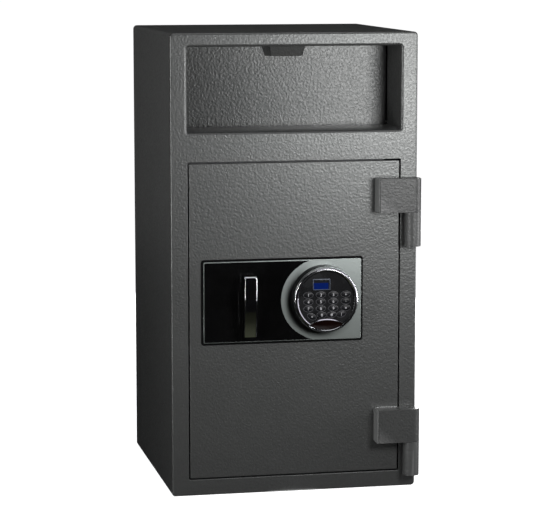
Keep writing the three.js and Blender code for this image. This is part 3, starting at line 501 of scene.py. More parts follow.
def make_piece(name, bm, body, *finishes, stands_for=()):
    """Turns a mesh into a piece that rides on a body, with smooth faces that meet in crisp edges."""
    for face in bm.faces:
        face.smooth = True
    for edge in bm.edges:
        edge.smooth = edge.calc_face_angle(0) < SHARP_ANGLE
    piece = add_object(name, as_mesh(name, bm))
    for finish in finishes:
        piece.data.materials.append(finish_material(finish))
    normals = piece.modifiers.new("Weighted normals", "WEIGHTED_NORMAL")
    normals.keep_sharp = True
    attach(piece, body)
    if stands_for:
        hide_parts(*stands_for)
    return piece


def body_of(node):
    """The body that a frame node rides on."""
    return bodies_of(frame["nodes"][node])[0]


def stand_in(node, bm, *finishes):
    """A finished piece that stands for a frame node and rides where it does."""
    return make_piece(f"{node}_finished", bm, body_of(node), *finishes, stands_for=[node])


def dress(node, finish, radius, steps=2, where=None):
    """A finished copy of a frame node with rounded edges, which stands for that node."""
    return stand_in(node, soften(node_mesh(node), radius, steps, where), finish)


def centre_of(node):
    """The middle of a frame node's box."""
    low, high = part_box(node)
    return (low + high) / 2


# Shader helpers


def put(tree, kind, inputs=None, **settings):
    """Adds a node, sets it up and fills its inputs with values or with other nodes' sockets."""
    node = tree.nodes.new(kind)
    for key, value in settings.items():
        setattr(node, key, value)
    for key, value in (inputs or {}).items():
        if isinstance(value, bpy.types.NodeSocket):
            tree.links.new(value, node.inputs[key])
        else:
            node.inputs[key].default_value = value
    return node


def maths(tree, operation, *values, clamp=False):
    """One step of arithmetic."""
    node = put(tree, "ShaderNodeMath", dict(enumerate(values)), operation=operation, use_clamp=clamp)
    return node.outputs[0]


def vector_maths(tree, operation, *vectors, output="Vector", **inputs):
    """One step of arithmetic on vectors."""
    values = {**dict(enumerate(vectors)), **inputs}
    return put(tree, "ShaderNodeVectorMath", values, operation=operation).outputs[output]


def ramp(tree, value, low, high, to_low=0.0, to_high=1.0):
    """Maps a value from one range to another with soft ends."""
    inputs = {"Value": value, "From Min": low, "From Max": high, "To Min": to_low, "To Max": to_high}
    return put(tree, "ShaderNodeMapRange", inputs, interpolation_type="SMOOTHSTEP").outputs["Result"]


def share_of(tree, value, low, high):
    """Where a value lies between two others, from 0 to 1, in an even scale."""
    inputs = {"Value": value, "From Min": low, "From Max": high}
    return put(tree, "ShaderNodeMapRange", inputs).outputs["Result"]


def blend_colours(tree, share, first, second):
    """Goes from one colour to another. Each is a socket or a colour."""
    node = put(tree, "ShaderNodeMix", {"Factor": share}, data_type="RGBA")
    for socket, value in ((node.inputs[6], first), (node.inputs[7], second)):
        if isinstance(value, bpy.types.NodeSocket):
            tree.links.new(value, socket)
        else:
            socket.default_value = (*value, 1)
    return node.outputs[2]


def shaded(colour, share):
    """A colour with its channels scaled alike."""
    return [channel * share for channel in colour]


def setting(path):
    """A setting by its group and name."""
    group, name = path.split(".")
    return getattr(getattr(bpy.context.scene, group), name)


def object_place(tree):
    """Places on the object, in metres."""
    return put(tree, "ShaderNodeTexCoord").outputs["Object"]


def object_points(tree, size):
    """Places on the object, counted in steps of the given size."""
    return vector_maths(tree, "SCALE", object_place(tree), Scale=maths(tree, "DIVIDE", 1.0, size))


def parts_of(tree, vector):
    """A vector's X, Y and Z."""
    return put(tree, "ShaderNodeSeparateXYZ", {0: vector}).outputs


def noise(tree, points, scale=1.0, detail=3, output="Fac", **inputs):
    """Cloudy noise over the given points."""
    inputs = {"Vector": points, "Scale": scale, "Detail": detail, **inputs}
    return put(tree, "ShaderNodeTexNoise", inputs).outputs[output]


# Shared effects

MIDDLE_RANGE, WIDE_RANGE = (0.35, 0.65), (0.3, 0.7)
# The relief's layers: how many of each there are to a dimple, and how much they count for
WANDER_SCALE, SWELLING_SCALE, FINE_SCALE, CLOUD_SCALE = 0.6, 1.1, 3.1, 0.05
CELL_REACH, CELL_SMOOTHNESS, CELL_SHARE, FINE_SHARE = 0.85, 0.6, 0.55, 0.34
LINE_BREAK_UP = 0.7
WEAR_GRAIN, WEAR_FADE = 0.006, 0.06


def new_group(name, inputs, outputs):
    """An empty shader node group with number inputs, each with its default, and number outputs."""
    tree = bpy.data.node_groups.new(name, "ShaderNodeTree")
    for label, default in inputs.items():
        socket = tree.interface.new_socket(name=label, in_out="INPUT", socket_type="NodeSocketFloat")
        socket.default_value = default
    for label in outputs:
        tree.interface.new_socket(name=label, in_out="OUTPUT", socket_type="NodeSocketFloat")
    return tree, tree.nodes.new("NodeGroupInput").outputs, tree.nodes.new("NodeGroupOutput").inputs


def hammered_relief():
    """Worm-like swellings and shallow dimples that run into each other, as in hammered powder coat."""
    tree, given, out = new_group(
        "Hammered relief", {"Dimple Size": 0.004, "Unevenness": 0.5}, ["Height", "Tone", "Cloud"]
    )
    points = object_points(tree, given["Dimple Size"])
    wander = noise(tree, points, WANDER_SCALE, 1, "Color")
    shift = vector_maths(tree, "SCALE", wander, Scale=given["Unevenness"])
    uneven = vector_maths(tree, "ADD", points, shift)
    inputs = {"Vector": uneven, "Scale": 1.0, "Smoothness": CELL_SMOOTHNESS}
    cells = put(tree, "ShaderNodeTexVoronoi", inputs, feature="SMOOTH_F1").outputs["Distance"]
    swelling = noise(tree, uneven, SWELLING_SCALE, 1)
    rounded = maths(tree, "MULTIPLY", ramp(tree, cells, 0.0, CELL_REACH), CELL_SHARE)
    fine = maths(tree, "MULTIPLY", noise(tree, points, FINE_SCALE, 1), FINE_SHARE)
    height = maths(tree, "ADD", maths(tree, "ADD", rounded, swelling), fine)
    tree.links.new(height, out["Height"])
    tree.links.new(ramp(tree, swelling, *MIDDLE_RANGE), out["Tone"])
    tree.links.new(ramp(tree, noise(tree, points, CLOUD_SCALE), *WIDE_RANGE), out["Cloud"])
    return tree


def fine_grain():
    """A fine even grain and slow cloudy patches, for plated, moulded and cast surfaces."""
    sizes = {"Grain Size": 0.0004, "Patch Size": 0.03}
    tree, given, out = new_group("Fine grain", sizes, ["Grain", "Patches"])
    grain = noise(tree, object_points(tree, given["Grain Size"]), 1.0, 2)
    patches = noise(tree, object_points(tree, given["Patch Size"]))
    tree.links.new(grain, out["Grain"])
    tree.links.new(ramp(tree, patches, *MIDDLE_RANGE), out["Patches"])
    return tree


def brushed_lines():
    """Long fine scratches along X, as on satin-finished metal."""
    tree, given, out = new_group("Brushed lines", {"Line Width": 0.00025, "Line Length": 0.02}, ["Lines"])
    parts = parts_of(tree, object_place(tree))
    along = maths(tree, "DIVIDE", parts["X"], given["Line Length"])
    across = maths(tree, "DIVIDE", parts["Z"], given["Line Width"])
    depth = maths(tree, "DIVIDE", parts["Y"], given["Line Width"])
    points = put(tree, "ShaderNodeCombineXYZ", {"X": along, "Y": depth, "Z": across}).outputs[0]
    tree.links.new(noise(tree, points, Roughness=LINE_BREAK_UP), out["Lines"])
    return tree


def edge_wear():
    """Where an outer edge is rubbed: a mask from the form's own corners, broken up by noise."""
    tree, given, out = new_group("Edge wear", {"Reach": 0.52, "Break Up": 0.4}, ["Wear"])
    bulge = put(tree, "ShaderNodeNewGeometry").outputs["Pointiness"]
    broken = maths(tree, "MULTIPLY", noise(tree, object_points(tree, WEAR_GRAIN)), given["Break Up"])
    edge = ramp(tree, bulge, given["Reach"], maths(tree, "ADD", given["Reach"], WEAR_FADE))
    tree.links.new(maths(tree, "SUBTRACT", edge, broken, clamp=True), out["Wear"])
    return tree


GROUP_BUILDERS = {
    "Hammered relief": hammered_relief,
    "Fine grain": fine_grain,
    "Brushed lines": brushed_lines,
    "Edge wear": edge_wear,
}


def place_group(tree, name, **values):
    """Places a shared effect, built the first time it is needed, and returns its outputs."""
    shared = bpy.data.node_groups.get(name) or GROUP_BUILDERS[name]()
    node = put(tree, "ShaderNodeGroup", node_tree=shared)
    for key, value in values.items():
        node.inputs[key.replace("_", " ").title()].default_value = value
    return node.outputs


# Finishes

BLACK, WHITE = (0, 0, 0), (1, 1, 1)
# Hammered paint: its unevenness, where it is rubbed, what its swellings add, and the sides facing left that
# get painted light
UNEVENNESS = 0.9
WEAR_REACH, WEAR_SHARE = 0.54, 0.3
SWELLING_TONE_SHARE, ROUGHNESS_SPREAD = 0.6, 0.03
PAINTED_LIGHT_FACING = (-0.95, -0.4)
# Moulded plastic: its grain, its patches and their tint, and how its roughness spreads
MOULD_GRAIN, MOULD_PATCH, MOULD_TINT, MOULD_SPREAD = 0.0006, 0.02, 1.4, (-0.05, 0.08)
INK_GRAIN, INK_TINT, INK_ROUGHNESS = 0.0003, 0.9, 0.5
# Brushed silver: the tints of its lines and patches, its roughness, and a painted shade of the keypad on its
# lower left
LINE_TINT, LINE_DEPTH, LINE_RANGE, LINE_ROUGHNESS = 0.9, 0.00001, (0.2, 0.8), (0.33, 0.4)
SILVER_PATCH_TINT, SILVER_PATCH_SHARE = 0.88, 0.25
PAINTED_SHADE_SIDE, PAINTED_SHADE_FACING, PAINTED_SHADE_WIDTH, PAINTED_SHADE_TINT = (-0.82, 0.0, -0.57), (-0.5, 0.9), 0.013, 0.12
# The display: where its lit part ends at the top and the right, its cells and its glow
LIT_TOP_SHARES, LIT_RIGHT_SHARES = (0.6, 0.68), (0.86, 0.92)
CELL_SIZE, CELL_TONES, DISPLAY_GLOW = 0.0008, (0.88, 1.0), 0.3
GLASS_ROUGHNESS, GLASS_COAT_ROUGHNESS = 0.16, 0.04


def new_material(name):
    """A material with nothing but its shader, which is returned with the node tree."""
    material = bpy.data.materials.new(name)
    material.use_nodes = True
    tree = material.node_tree
    return material, tree, tree.nodes["Principled BSDF"]


def bump(tree, shader, height, depth):
    """Raises the surface by a height map of the given depth."""
    node = put(tree, "ShaderNodeBump", {"Height": height, "Distance": depth, "Strength": 1.0})
    tree.links.new(node.outputs["Normal"], shader.inputs["Normal"])


def feed(tree, shader, **sockets):
    """Links or sets the shader's own sockets, named in lower case with underscores."""
    for key, value in sockets.items():
        socket = shader.inputs[key.replace("_", " ").title().replace("Ior", "IOR")]
        if isinstance(value, bpy.types.NodeSocket):
            tree.links.new(value, socket)
        elif socket.type == "RGBA":
            socket.default_value = (*value, 1)
        else:
            socket.default_value = value


def hammered_paint(name, relief=1.0, flake=1.0, tone=1.0, duller=0.0, coat=0.0, coat_roughness=0.2,
                   painted_light_left=1.0):
    """Hammered powder coat, which differs from piece to piece. It can carry painted light on a piece's sides
    that face left.
    """
    look = bpy.context.scene.safe_paint
    material, tree, shader = new_material(name)
    hammered = place_group(tree, "Hammered relief", dimple_size=look.dimple_size, unevenness=UNEVENNESS)
    wear = place_group(tree, "Edge wear", reach=WEAR_REACH)["Wear"]
    swellings = maths(tree, "MULTIPLY", hammered["Tone"], SWELLING_TONE_SHARE)
    clouds = maths(tree, "MULTIPLY", hammered["Cloud"], 1 - SWELLING_TONE_SHARE)
    dark, light = shaded(look.colour, tone), shaded(look.swell_colour, tone)
    body = blend_colours(tree, maths(tree, "ADD", swellings, clouds), dark, light)
    # Painted light: faces turned left in the piece's own frame are paler, as if a lamp at the left lit them
    if painted_light_left > 1:
        facing = parts_of(tree, put(tree, "ShaderNodeTexCoord").outputs["Normal"])["X"]
        left = ramp(tree, facing, *PAINTED_LIGHT_FACING, 1.0, 0.0)
        body = blend_colours(tree, left, body, shaded(light, painted_light_left))
    rubbed = maths(tree, "MULTIPLY", wear, WEAR_SHARE)
    dull = look.roughness + duller
    roughness = ramp(tree, hammered["Tone"], 0, 1, dull + ROUGHNESS_SPREAD, dull - ROUGHNESS_SPREAD)
    feed(tree, shader, base_color=blend_colours(tree, rubbed, body, look.worn_colour))
    feed(tree, shader, roughness=roughness, metallic=look.flake * flake)
    feed(tree, shader, coat_weight=coat, coat_roughness=coat_roughness)
    bump(tree, shader, hammered["Height"], look.dimple_depth * relief)
    return material


def grained(name, colour, grain, patch, tint, rough, depth, metallic=0.0, shine=0.5):
    """A plain or plated surface with a fine grain, and slow patches of another tint and roughness."""
    material, tree, shader = new_material(name)
    texture = place_group(tree, "Fine grain", grain_size=grain, patch_size=patch)
    base = setting(colour)
    feed(tree, shader, base_color=blend_colours(tree, texture["Patches"], base, shaded(base, tint)))
    feed(tree, shader, roughness=ramp(tree, texture["Patches"], 0, 1, *rough))
    feed(tree, shader, metallic=metallic, specular_ior_level=shine)
    bump(tree, shader, texture["Grain"], depth)
    return material


def moulded(name, colour, roughness, depth, shine=0.5):
    """Moulded plastic or rubber with a fine spark-eroded grain."""
    material, tree, shader = new_material(name)
    texture = place_group(tree, "Fine grain", grain_size=MOULD_GRAIN, patch_size=MOULD_PATCH)
    base = setting(colour)
    smoother, rougher = [roughness + step for step in MOULD_SPREAD]
    feed(tree, shader, base_color=blend_colours(tree, texture["Patches"], base, shaded(base, MOULD_TINT)))
    feed(tree, shader, roughness=ramp(tree, texture["Grain"], *WIDE_RANGE, smoother, rougher))
    feed(tree, shader, specular_ior_level=shine)
    bump(tree, shader, texture["Grain"], depth)
    return material


def printed(name, colour):
    """Printed ink, a little uneven."""
    material, tree, shader = new_material(name)
    grain = place_group(tree, "Fine grain", grain_size=INK_GRAIN)["Grain"]
    ink = setting(colour)
    feed(tree, shader, base_color=blend_colours(tree, grain, shaded(ink, INK_TINT), ink))
    feed(tree, shader, roughness=INK_ROUGHNESS)
    return material


def brushed_silver(name):
    """Satin metal with long brushed lines, and a painted shade where it meets the keypad's lower left side.
    """
    silver = setting("safe_panel.silver")
    material, tree, shader = new_material(name)
    lines = place_group(tree, "Brushed lines")["Lines"]
    patches = place_group(tree, "Fine grain")["Patches"]
    tint = blend_colours(tree, ramp(tree, lines, *WIDE_RANGE), silver, shaded(silver, LINE_TINT))
    patchy = maths(tree, "MULTIPLY", patches, SILVER_PATCH_SHARE)
    tint = blend_colours(tree, patchy, tint, shaded(silver, SILVER_PATCH_TINT))
    # Painted shade: darker near the keypad's lower left side, where the keypad throws its shadow
    low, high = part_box("keypad_housing")
    radius = (high.x - low.x) / 2
    parts = parts_of(tree, vector_maths(tree, "SUBTRACT", object_place(tree), centre_of("keypad_housing")))
    flat = put(tree, "ShaderNodeCombineXYZ", {"X": parts["X"], "Z": parts["Z"]}).outputs[0]
    away = vector_maths(tree, "LENGTH", flat, output="Value")
    toward = vector_maths(tree, "DOT_PRODUCT", flat, PAINTED_SHADE_SIDE, output="Value")
    side = ramp(tree, maths(tree, "DIVIDE", toward, away), *PAINTED_SHADE_FACING)
    near = ramp(tree, away, radius, radius + PAINTED_SHADE_WIDTH, 1.0, 0.0)
    tint = blend_colours(tree, maths(tree, "MULTIPLY", side, near), tint, shaded(silver, PAINTED_SHADE_TINT))
    roughness = ramp(tree, lines, *LINE_RANGE, *LINE_ROUGHNESS)
    feed(tree, shader, base_color=tint, roughness=roughness, metallic=1.0)
    bump(tree, shader, lines, LINE_DEPTH)
    return material


def display_panel(name):
    """The liquid crystal: dark above, lit blue below, with a faint cell grid."""
    look = bpy.context.scene.safe_panel
    material, tree, shader = new_material(name)
    low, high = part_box("display_window")
    parts = parts_of(tree, object_place(tree))
    lit = ramp(tree, share_of(tree, parts["Z"], low.z, high.z), *LIT_TOP_SHARES, 1.0, 0.0)
    left = ramp(tree, share_of(tree, parts["X"], low.x, high.x), *LIT_RIGHT_SHARES, 1.0, 0.0)
    checks = put(tree, "ShaderNodeTexChecker", {"Vector": object_points(tree, CELL_SIZE), "Scale": 1.0})
    cells = ramp(tree, checks.outputs["Fac"], 0, 1, *CELL_TONES)
    glow = maths(tree, "MULTIPLY", maths(tree, "MULTIPLY", lit, left), cells)
    feed(tree, shader, base_color=blend_colours(tree, glow, look.unlit_colour, look.display_blue))
    feed(tree, shader, roughness=GLASS_ROUGHNESS, coat_weight=1.0, coat_roughness=GLASS_COAT_ROUGHNESS)
    feed(tree, shader, emission_color=blend_colours(tree, glow, BLACK, look.display_blue))
    feed(tree, shader, emission_strength=DISPLAY_GLOW)
    return material


# What like finishes share
WELDED = {"flake": 0.25, "duller": 0.02, "coat_roughness": 0.5}
CHROME = {
    "colour": "safe_metal.chrome", "grain": 0.002, "patch": 0.012, "tint": 0.96, "depth": 0.000002,
    "metallic": 1.0,
}
PLATED = {"grain": 0.0005, "patch": 0.014, "depth": 0.00002, "metallic": 1.0}
CAST = {"grain": 0.0009, "patch": 0.02, "tint": 0.8, "rough": (0.4, 0.52), "depth": 0.0001, "metallic": 0.8}
GLOSSY = {"grain": 0.003, "patch": 0.025, "tint": 1.3, "depth": 0.00001}
INNER = {"grain": 0.0011, "patch": 0.05, "tint": 1.12, "rough": (0.46, 0.5), "depth": 0.00012}

# Each finish: the record's slot, the function that makes it, and the values that it is made with
FINISHES = {
    "hammered_paint": ("hammertone", hammered_paint, {}),
    # The hopper plate: a darker tone that paints the recess's shade on it, and its own lower roughness
    "hopper_paint": ("hammertone", hammered_paint, {"relief": 0.95, "tone": 0.5, "duller": -0.07}),
    # The sill: painted light, a lighter tone standing in for the light on its floor, with less relief and a
    # clear coat
    "sill_paint": ("hammertone", hammered_paint, {"relief": 0.25, "flake": 0.7, "tone": 1.3, "coat": 1.0}),
    # The weld beads: real beads, with a lighter tone that paints on them the light that catches them
    "weld_paint": ("hammertone", hammered_paint, {"relief": 0.8, "tone": 1.5, "coat": 1.0}),
    "barrel_paint": ("hammertone", hammered_paint, {**WELDED, "relief": 1.7, "tone": 0.6, "coat": 0.4}),
    # The straps: darker and smoother paint, with painted light on their sides that face left
    "strap_paint": ("hammertone", hammered_paint, {
        **WELDED, "relief": 1.5, "tone": 0.38, "coat": 0.35, "painted_light_left": 4.0,
    }),
    "plain_paint": ("inner_paint", grained, {**INNER, "colour": "safe_paint.inner_colour"}),
    "chrome_plate": ("mirror_chrome", grained, {**CHROME, "rough": (0.13, 0.15)}),
    "lever_chrome": ("mirror_chrome", grained, {**CHROME, "rough": (0.035, 0.055)}),
    "zinc_plating": ("zinc_plate", grained, {
        **PLATED, "colour": "safe_metal.zinc", "tint": 0.72, "rough": (0.34, 0.44),
    }),
    "ground_steel": ("bright_steel", grained, {
        **PLATED, "colour": "safe_metal.steel", "tint": 0.8, "rough": (0.2, 0.3),
    }),
    "cast_metal": ("cast_zinc", grained, {**CAST, "colour": "safe_metal.casting"}),
    "brushed_silver": ("satin_silver", brushed_silver, {}),
    "black_lacquer": ("gloss_black", grained, {
        **GLOSSY, "colour": "safe_panel.gloss_black", "rough": (0.05, 0.12), "shine": 0.3,
    }),
    "face_plastic": ("gloss_black", grained, {
        **GLOSSY, "colour": "safe_panel.face_colour", "rough": (0.24, 0.31), "shine": 0.35,
    }),
    "smoked_brown": ("gloss_black", moulded, {
        "colour": "safe_panel.hatch_colour", "roughness": 0.3, "depth": 0.00001, "shine": 0.04,
    }),
    "collar_plastic": ("gloss_black", moulded, {
        "colour": "safe_panel.collar_colour", "roughness": 0.35, "depth": 0.00002,
    }),
    "housing_black": ("matt_black", moulded, {
        "colour": "safe_panel.housing_colour", "roughness": 0.4, "depth": 0.00002, "shine": 0.15,
    }),
    "black_rubber": ("matt_black", moulded, {
        "colour": "safe_panel.matt_black", "roughness": 0.5, "depth": 0.00006, "shine": 0.08,
    }),
    "key_plastic": ("key_rubber", moulded, {
        "colour": "safe_panel.key_colour", "roughness": 0.3, "depth": 0.00002, "shine": 0.25,
    }),
    "bezel_plastic": ("display_glass", moulded, {
        "colour": "safe_panel.bezel_colour", "roughness": 0.32, "depth": 0.00002,
    }),
    "display_panel": ("display_glass", display_panel, {}),
    "printed_legend": ("key_rubber", printed, {"colour": "safe_panel.legend_colour"}),
}


def finish_material(name):
    """The material of a finish, made the first time it is asked for."""
    _, maker, values = FINISHES[name]
    return bpy.data.materials.get(name) or maker(name, **values)


# Cabinet


class SAFE_OT_cabinet(bpy.types.Operator):
    """Shell, back plate, front frame with its rolled window edge, and door stop"""

    bl_idname = "safe.cabinet"
    bl_label = "Cabinet"

    def execute(self, context):
        look = context.scene.safe_paint
        front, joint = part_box("front_frame")[0].y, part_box("cabinet_shell")[0].y
        dress("front_frame", "hammered_paint", look.front_edge_radius, 3,
              lambda middle: abs(middle.y - front) < WELD_DISTANCE)
        dress("cabinet_shell", "hammered_paint", look.edge_radius / 2,
              where=lambda middle: abs(middle.y - joint) > WELD_DISTANCE)
        dress("back_plate", "hammered_paint", look.edge_radius)
        dress("door_jamb", "plain_paint", look.edge_radius / 2)
        return {"FINISHED"}


# Deposit hopper

HOPPER_SHEETS = ("hopper_cheek_left", "hopper_cheek_right", "hopper_hood", "hopper_baffle", "hopper_ramp",
                 "hopper_side_left", "hopper_side_right")
HEM_RADIUS, HEM_SKIN_SHARE = 0.0045, 0.9
SILL_RAMP, SILL_DROP = 0.014, 0.0024
PULL_SLOPE = 0.007


def squared_hem():
    """The hopper plate, with the lower front corner of its hem drawn out square."""
    bm = node_mesh("hopper_front")
    low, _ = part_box("hopper_front")
    pivot = Vector((low.y + HEM_RADIUS, low.z + HEM_RADIUS))
    for vert in bm.verts:
        place = Vector(vert.co.yz) - pivot
        if place.x < 0 and place.y < 0 and place.length > HEM_RADIUS * HEM_SKIN_SHARE:
            vert.co.y = low.y
    return bm


def sloped_sill():
    """The recess sill, whose top falls away along its front."""
    bm = node_mesh("recess_sill")
    low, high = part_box("recess_sill")
    geometry = [*bm.verts, *bm.edges, *bm.faces]
    bmesh.ops.bisect_plane(
        bm, geom=geometry, plane_co=(0, low.y + SILL_RAMP, 0), plane_no=(0, 1, 0), dist=WELD_DISTANCE
    )
    for vert in bm.verts:
        if vert.co.y < low.y + WELD_DISTANCE and vert.co.z > high.z - WELD_DISTANCE:
            vert.co.z -= SILL_DROP
    return bm


def sloped_pull():
    """The pull, whose front slopes back towards its lower edge."""
    bm = node_mesh("hopper_pull")
    low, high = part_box("hopper_pull")
    for vert in bm.verts:
        share = (high.y - vert.co.y) / (high.y - low.y) * (high.z - vert.co.z) / (high.z - low.z)
        vert.co.y += PULL_SLOPE * share
    return bm


class SAFE_OT_hopper(bpy.types.Operator):
    """Recess sheets, hood, toothed baffle, rod and the tilting hopper with its pull"""

    bl_idname = "safe.hopper"
    bl_label = "Deposit hopper"

    def execute(self, context):
        edge = context.scene.safe_paint.edge_radius
        for node in HOPPER_SHEETS:
            dress(node, "hammered_paint", edge)
        stand_in("hopper_front", soften(squared_hem(), edge / 2), "hopper_paint")
        stand_in("recess_sill", sloped_sill(), "sill_paint")
        stand_in("hopper_pull", soften(sloped_pull(), edge, 3), "hammered_paint")
        dress("hopper_rod", "zinc_plating", edge / 2)
        return {"FINISHED"}


# Door

DOOR_EDGE_SHARE = 1.4
SCREW_INSET, SCREW_ROWS, SCREW_TURN = 0.011, 5, 1.3


def cover_screws(radius):
    """Screws down both sides and at the middle of both ends of the cover, each turned its own way."""
    low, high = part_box("bolt_box_cover")
    rise = (high.z - low.z - 2 * SCREW_INSET) / (SCREW_ROWS - 1)
    places = [(x, low.z + SCREW_INSET + rise * i)
              for x in (low.x + SCREW_INSET, high.x - SCREW_INSET) for i in range(SCREW_ROWS)]
    places += [((low.x + high.x) / 2, z) for z in (low.z + SCREW_INSET, high.z - SCREW_INSET)]
    one = screw(radius)
    heads = []
    for number, (x, z) in enumerate(places):
        turn = Matrix.Rotation(-math.pi / 2, 4, "X") @ Matrix.Rotation(SCREW_TURN * number, 4, "Z")
        heads.append(moved_copy(one, Matrix.Translation((x, high.y, z)) @ turn))
    one.free()
    return merged(heads)


class SAFE_OT_door(bpy.types.Operator):
    """Door plate, bolt box with its cover and screws, and dead bar"""

    bl_idname = "safe.door"
    bl_label = "Door"

    def execute(self, context):
        edge = context.scene.safe_paint.edge_radius
        dress("door_plate", "hammered_paint", edge * DOOR_EDGE_SHARE, 3)
        for node in ("bolt_box", "bolt_box_cover", "dead_bar"):
            dress(node, "plain_paint", edge)
        screws = cover_screws(context.scene.safe_metal.screw_radius)
        make_piece("cover_screws", screws, body_of("bolt_box_cover"), "zinc_plating")
        return {"FINISHED"}


# Hinges

BARREL_EDGE_SHARE = 1.6
FOOT_SHARE = 0.56


def strap_weld(height, radius, seed):
    """The bead along the top of a hinge strap, on the door plate."""
    low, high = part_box(f"hinge_strap_{height}")
    front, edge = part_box("front_frame")[0].y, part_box("door_plate")[1].x
    return weld_bead((low.x + radius, front, high.z), (edge - radius, front, high.z), radius, seed)


def barrel_welds(height, radius, seed):
    """The beads down both sides of a hinge barrel's foot, on the front frame."""
    low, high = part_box(f"hinge_barrel_{height}")
    front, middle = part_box("front_frame")[0].y, (low.x + high.x) / 2
    beads = []
    for side in (-1, 1):
        x = middle + side * ((high.x - low.x) * FOOT_SHARE / 2)
        beads.append(weld_bead((x, front, low.z + radius), (x, front, high.z - radius), radius, seed + side))
    return merged(beads)


class SAFE_OT_hinges(bpy.types.Operator):
    """Barrels welded to the frame, straps welded to the door, their pins and weld beads"""

    bl_idname = "safe.hinges"
    bl_label = "Hinges"

    def execute(self, context):
        edge = context.scene.safe_paint.edge_radius
        radius = context.scene.safe_metal.weld_radius
        door, cabinet = body_of("door_plate"), body_of("front_frame")
        for seed, height in enumerate(("lower", "upper")):
            dress(f"hinge_barrel_{height}", "barrel_paint", edge * BARREL_EDGE_SHARE, 3)
            dress(f"hinge_strap_{height}", "strap_paint", edge, 3)
            dress(f"hinge_pin_{height}", "ground_steel", edge)
            make_piece(f"strap_weld_{height}", strap_weld(height, radius, seed), door, "weld_paint")
            make_piece(f"barrel_welds_{height}", barrel_welds(height, radius, seed), cabinet, "barrel_paint")
        return {"FINISHED"}


# Lock panel

GASKET_EDGE, FACE_PLATE_EDGE = 0.0008, 0.0006
OVERLAY_BORDER, OVERLAY_REACH = 0.004, 0.0008


def widened_overlay():
    """The gloss overlay, whose left, upper and lower borders reach out a little further."""
    bm = node_mesh("gloss_overlay")
    low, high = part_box("gloss_overlay")
    middle, half = (low.z + high.z) / 2, (high.z - low.z) / 2
    for vert in bm.verts:
        if vert.co.x < low.x + OVERLAY_BORDER:
            vert.co.x -= OVERLAY_REACH
        if abs(vert.co.z - middle) > half - OVERLAY_BORDER:
            vert.co.z += math.copysign(OVERLAY_REACH, vert.co.z - middle)
    return bm


class SAFE_OT_lock_panel(bpy.types.Operator):
    """Gasket, satin plate and gloss black overlay on the door"""

    bl_idname = "safe.lock_panel"
    bl_label = "Lock panel"

    def execute(self, context):
        dress("panel_gasket", "black_rubber", GASKET_EDGE, 3)
        dress("face_plate", "brushed_silver", FACE_PLATE_EDGE, 3)
        stand_in("gloss_overlay", widened_overlay(), "black_lacquer")
        return {"FINISHED"}


# Keypad

CUT_OVERRUN = 0.0006
HOUSING_EDGE, FACE_EDGE = 0.0005, 0.0004
RING_WIDTH, RING_WALL_SHARE, RING_LIP = 0.0065, 0.2, 0.0019
RING_SIDES, RING_STEPS = 168, 5
# Tilts in degrees from the outer flank to the crown, and on over the lip, each span's length where it is set
RING_SPANS = ((90, 50, None), (50, 34, 0.0003), (34, 23, None), (23, 8, 0.00012), (8, 0, 0.0012))
LIP_SPANS = ((0, -8, 0.0003), (-8, -23, 0.0001), (-23, -33, None))
KEY_COUNT = 16
KEY_HALF_SIZES = (0.007, 0.00415)
LAST_ROW_TURNS = [math.radians(degrees) for degrees in (-28, -4, 4, 14)]
# A key's collar: its gap, its rise for its width, and its section outward and upward
COLLAR_GAP, COLLAR_RISE_SHARE = 0.0002, 0.8
COLLAR_SHARES = ((0, -1), (0, 0.6), (0.25, 1), (0.7, 0.9), (1, 0.35), (1, -1))
# The display's bezel and glass: sections inward for the bezel's width and upward for its depth
BEZEL_WIDTH, BEZEL_ROUND_SHARE, BEZEL_STEPS = 0.0013, 0.25, 4
BEZEL_INNER_SHARES = ((0.8, 1), (1, 0.65), (1, 0))
GLASS_SHARES = ((0.9, 0), (0.9, 0.75), (1.1, 0.8))
# The battery hatch: its gap, its rim with the bevel and the inner edge, and the dish with its rings
HATCH_GAP, HATCH_RIM, HATCH_SCOOP, HATCH_TILT = 0.0003, 0.0023, 0.0014, math.radians(28)
HATCH_BEVEL_SHARE, HATCH_INNER_SHARE = 0.6, 0.5
DISH_EDGE_SHARE, DISH_DROP_SHARE = 0.9, 0.6
DISH_RING_SHARES = (0.92, 0.8, 0.65, 0.45, 0.2, 0)


def span_reach(start, end):
    """How far inward and upward a curve goes for its length as it turns from one tilt to another."""
    turn = start - end
    return (math.sin(start) - math.sin(end)) / turn, (math.cos(end) - math.cos(start)) / turn


def in_radians(spans):
    """Spans with their tilts in radians."""
    return [(math.radians(start), math.radians(end), length) for start, end, length in spans]


def turning_line(point, start, end, length):
    """Points of a line that turns evenly from one tilt to another as it goes inward."""
    found = []
    for i in range(RING_STEPS):
        tilt = start + (end - start) * (i + 0.5) / RING_STEPS
        step = length / RING_STEPS
        point = (point[0] - step * math.cos(tilt), point[1] + step * math.sin(tilt))
        found.append(point)
    return found


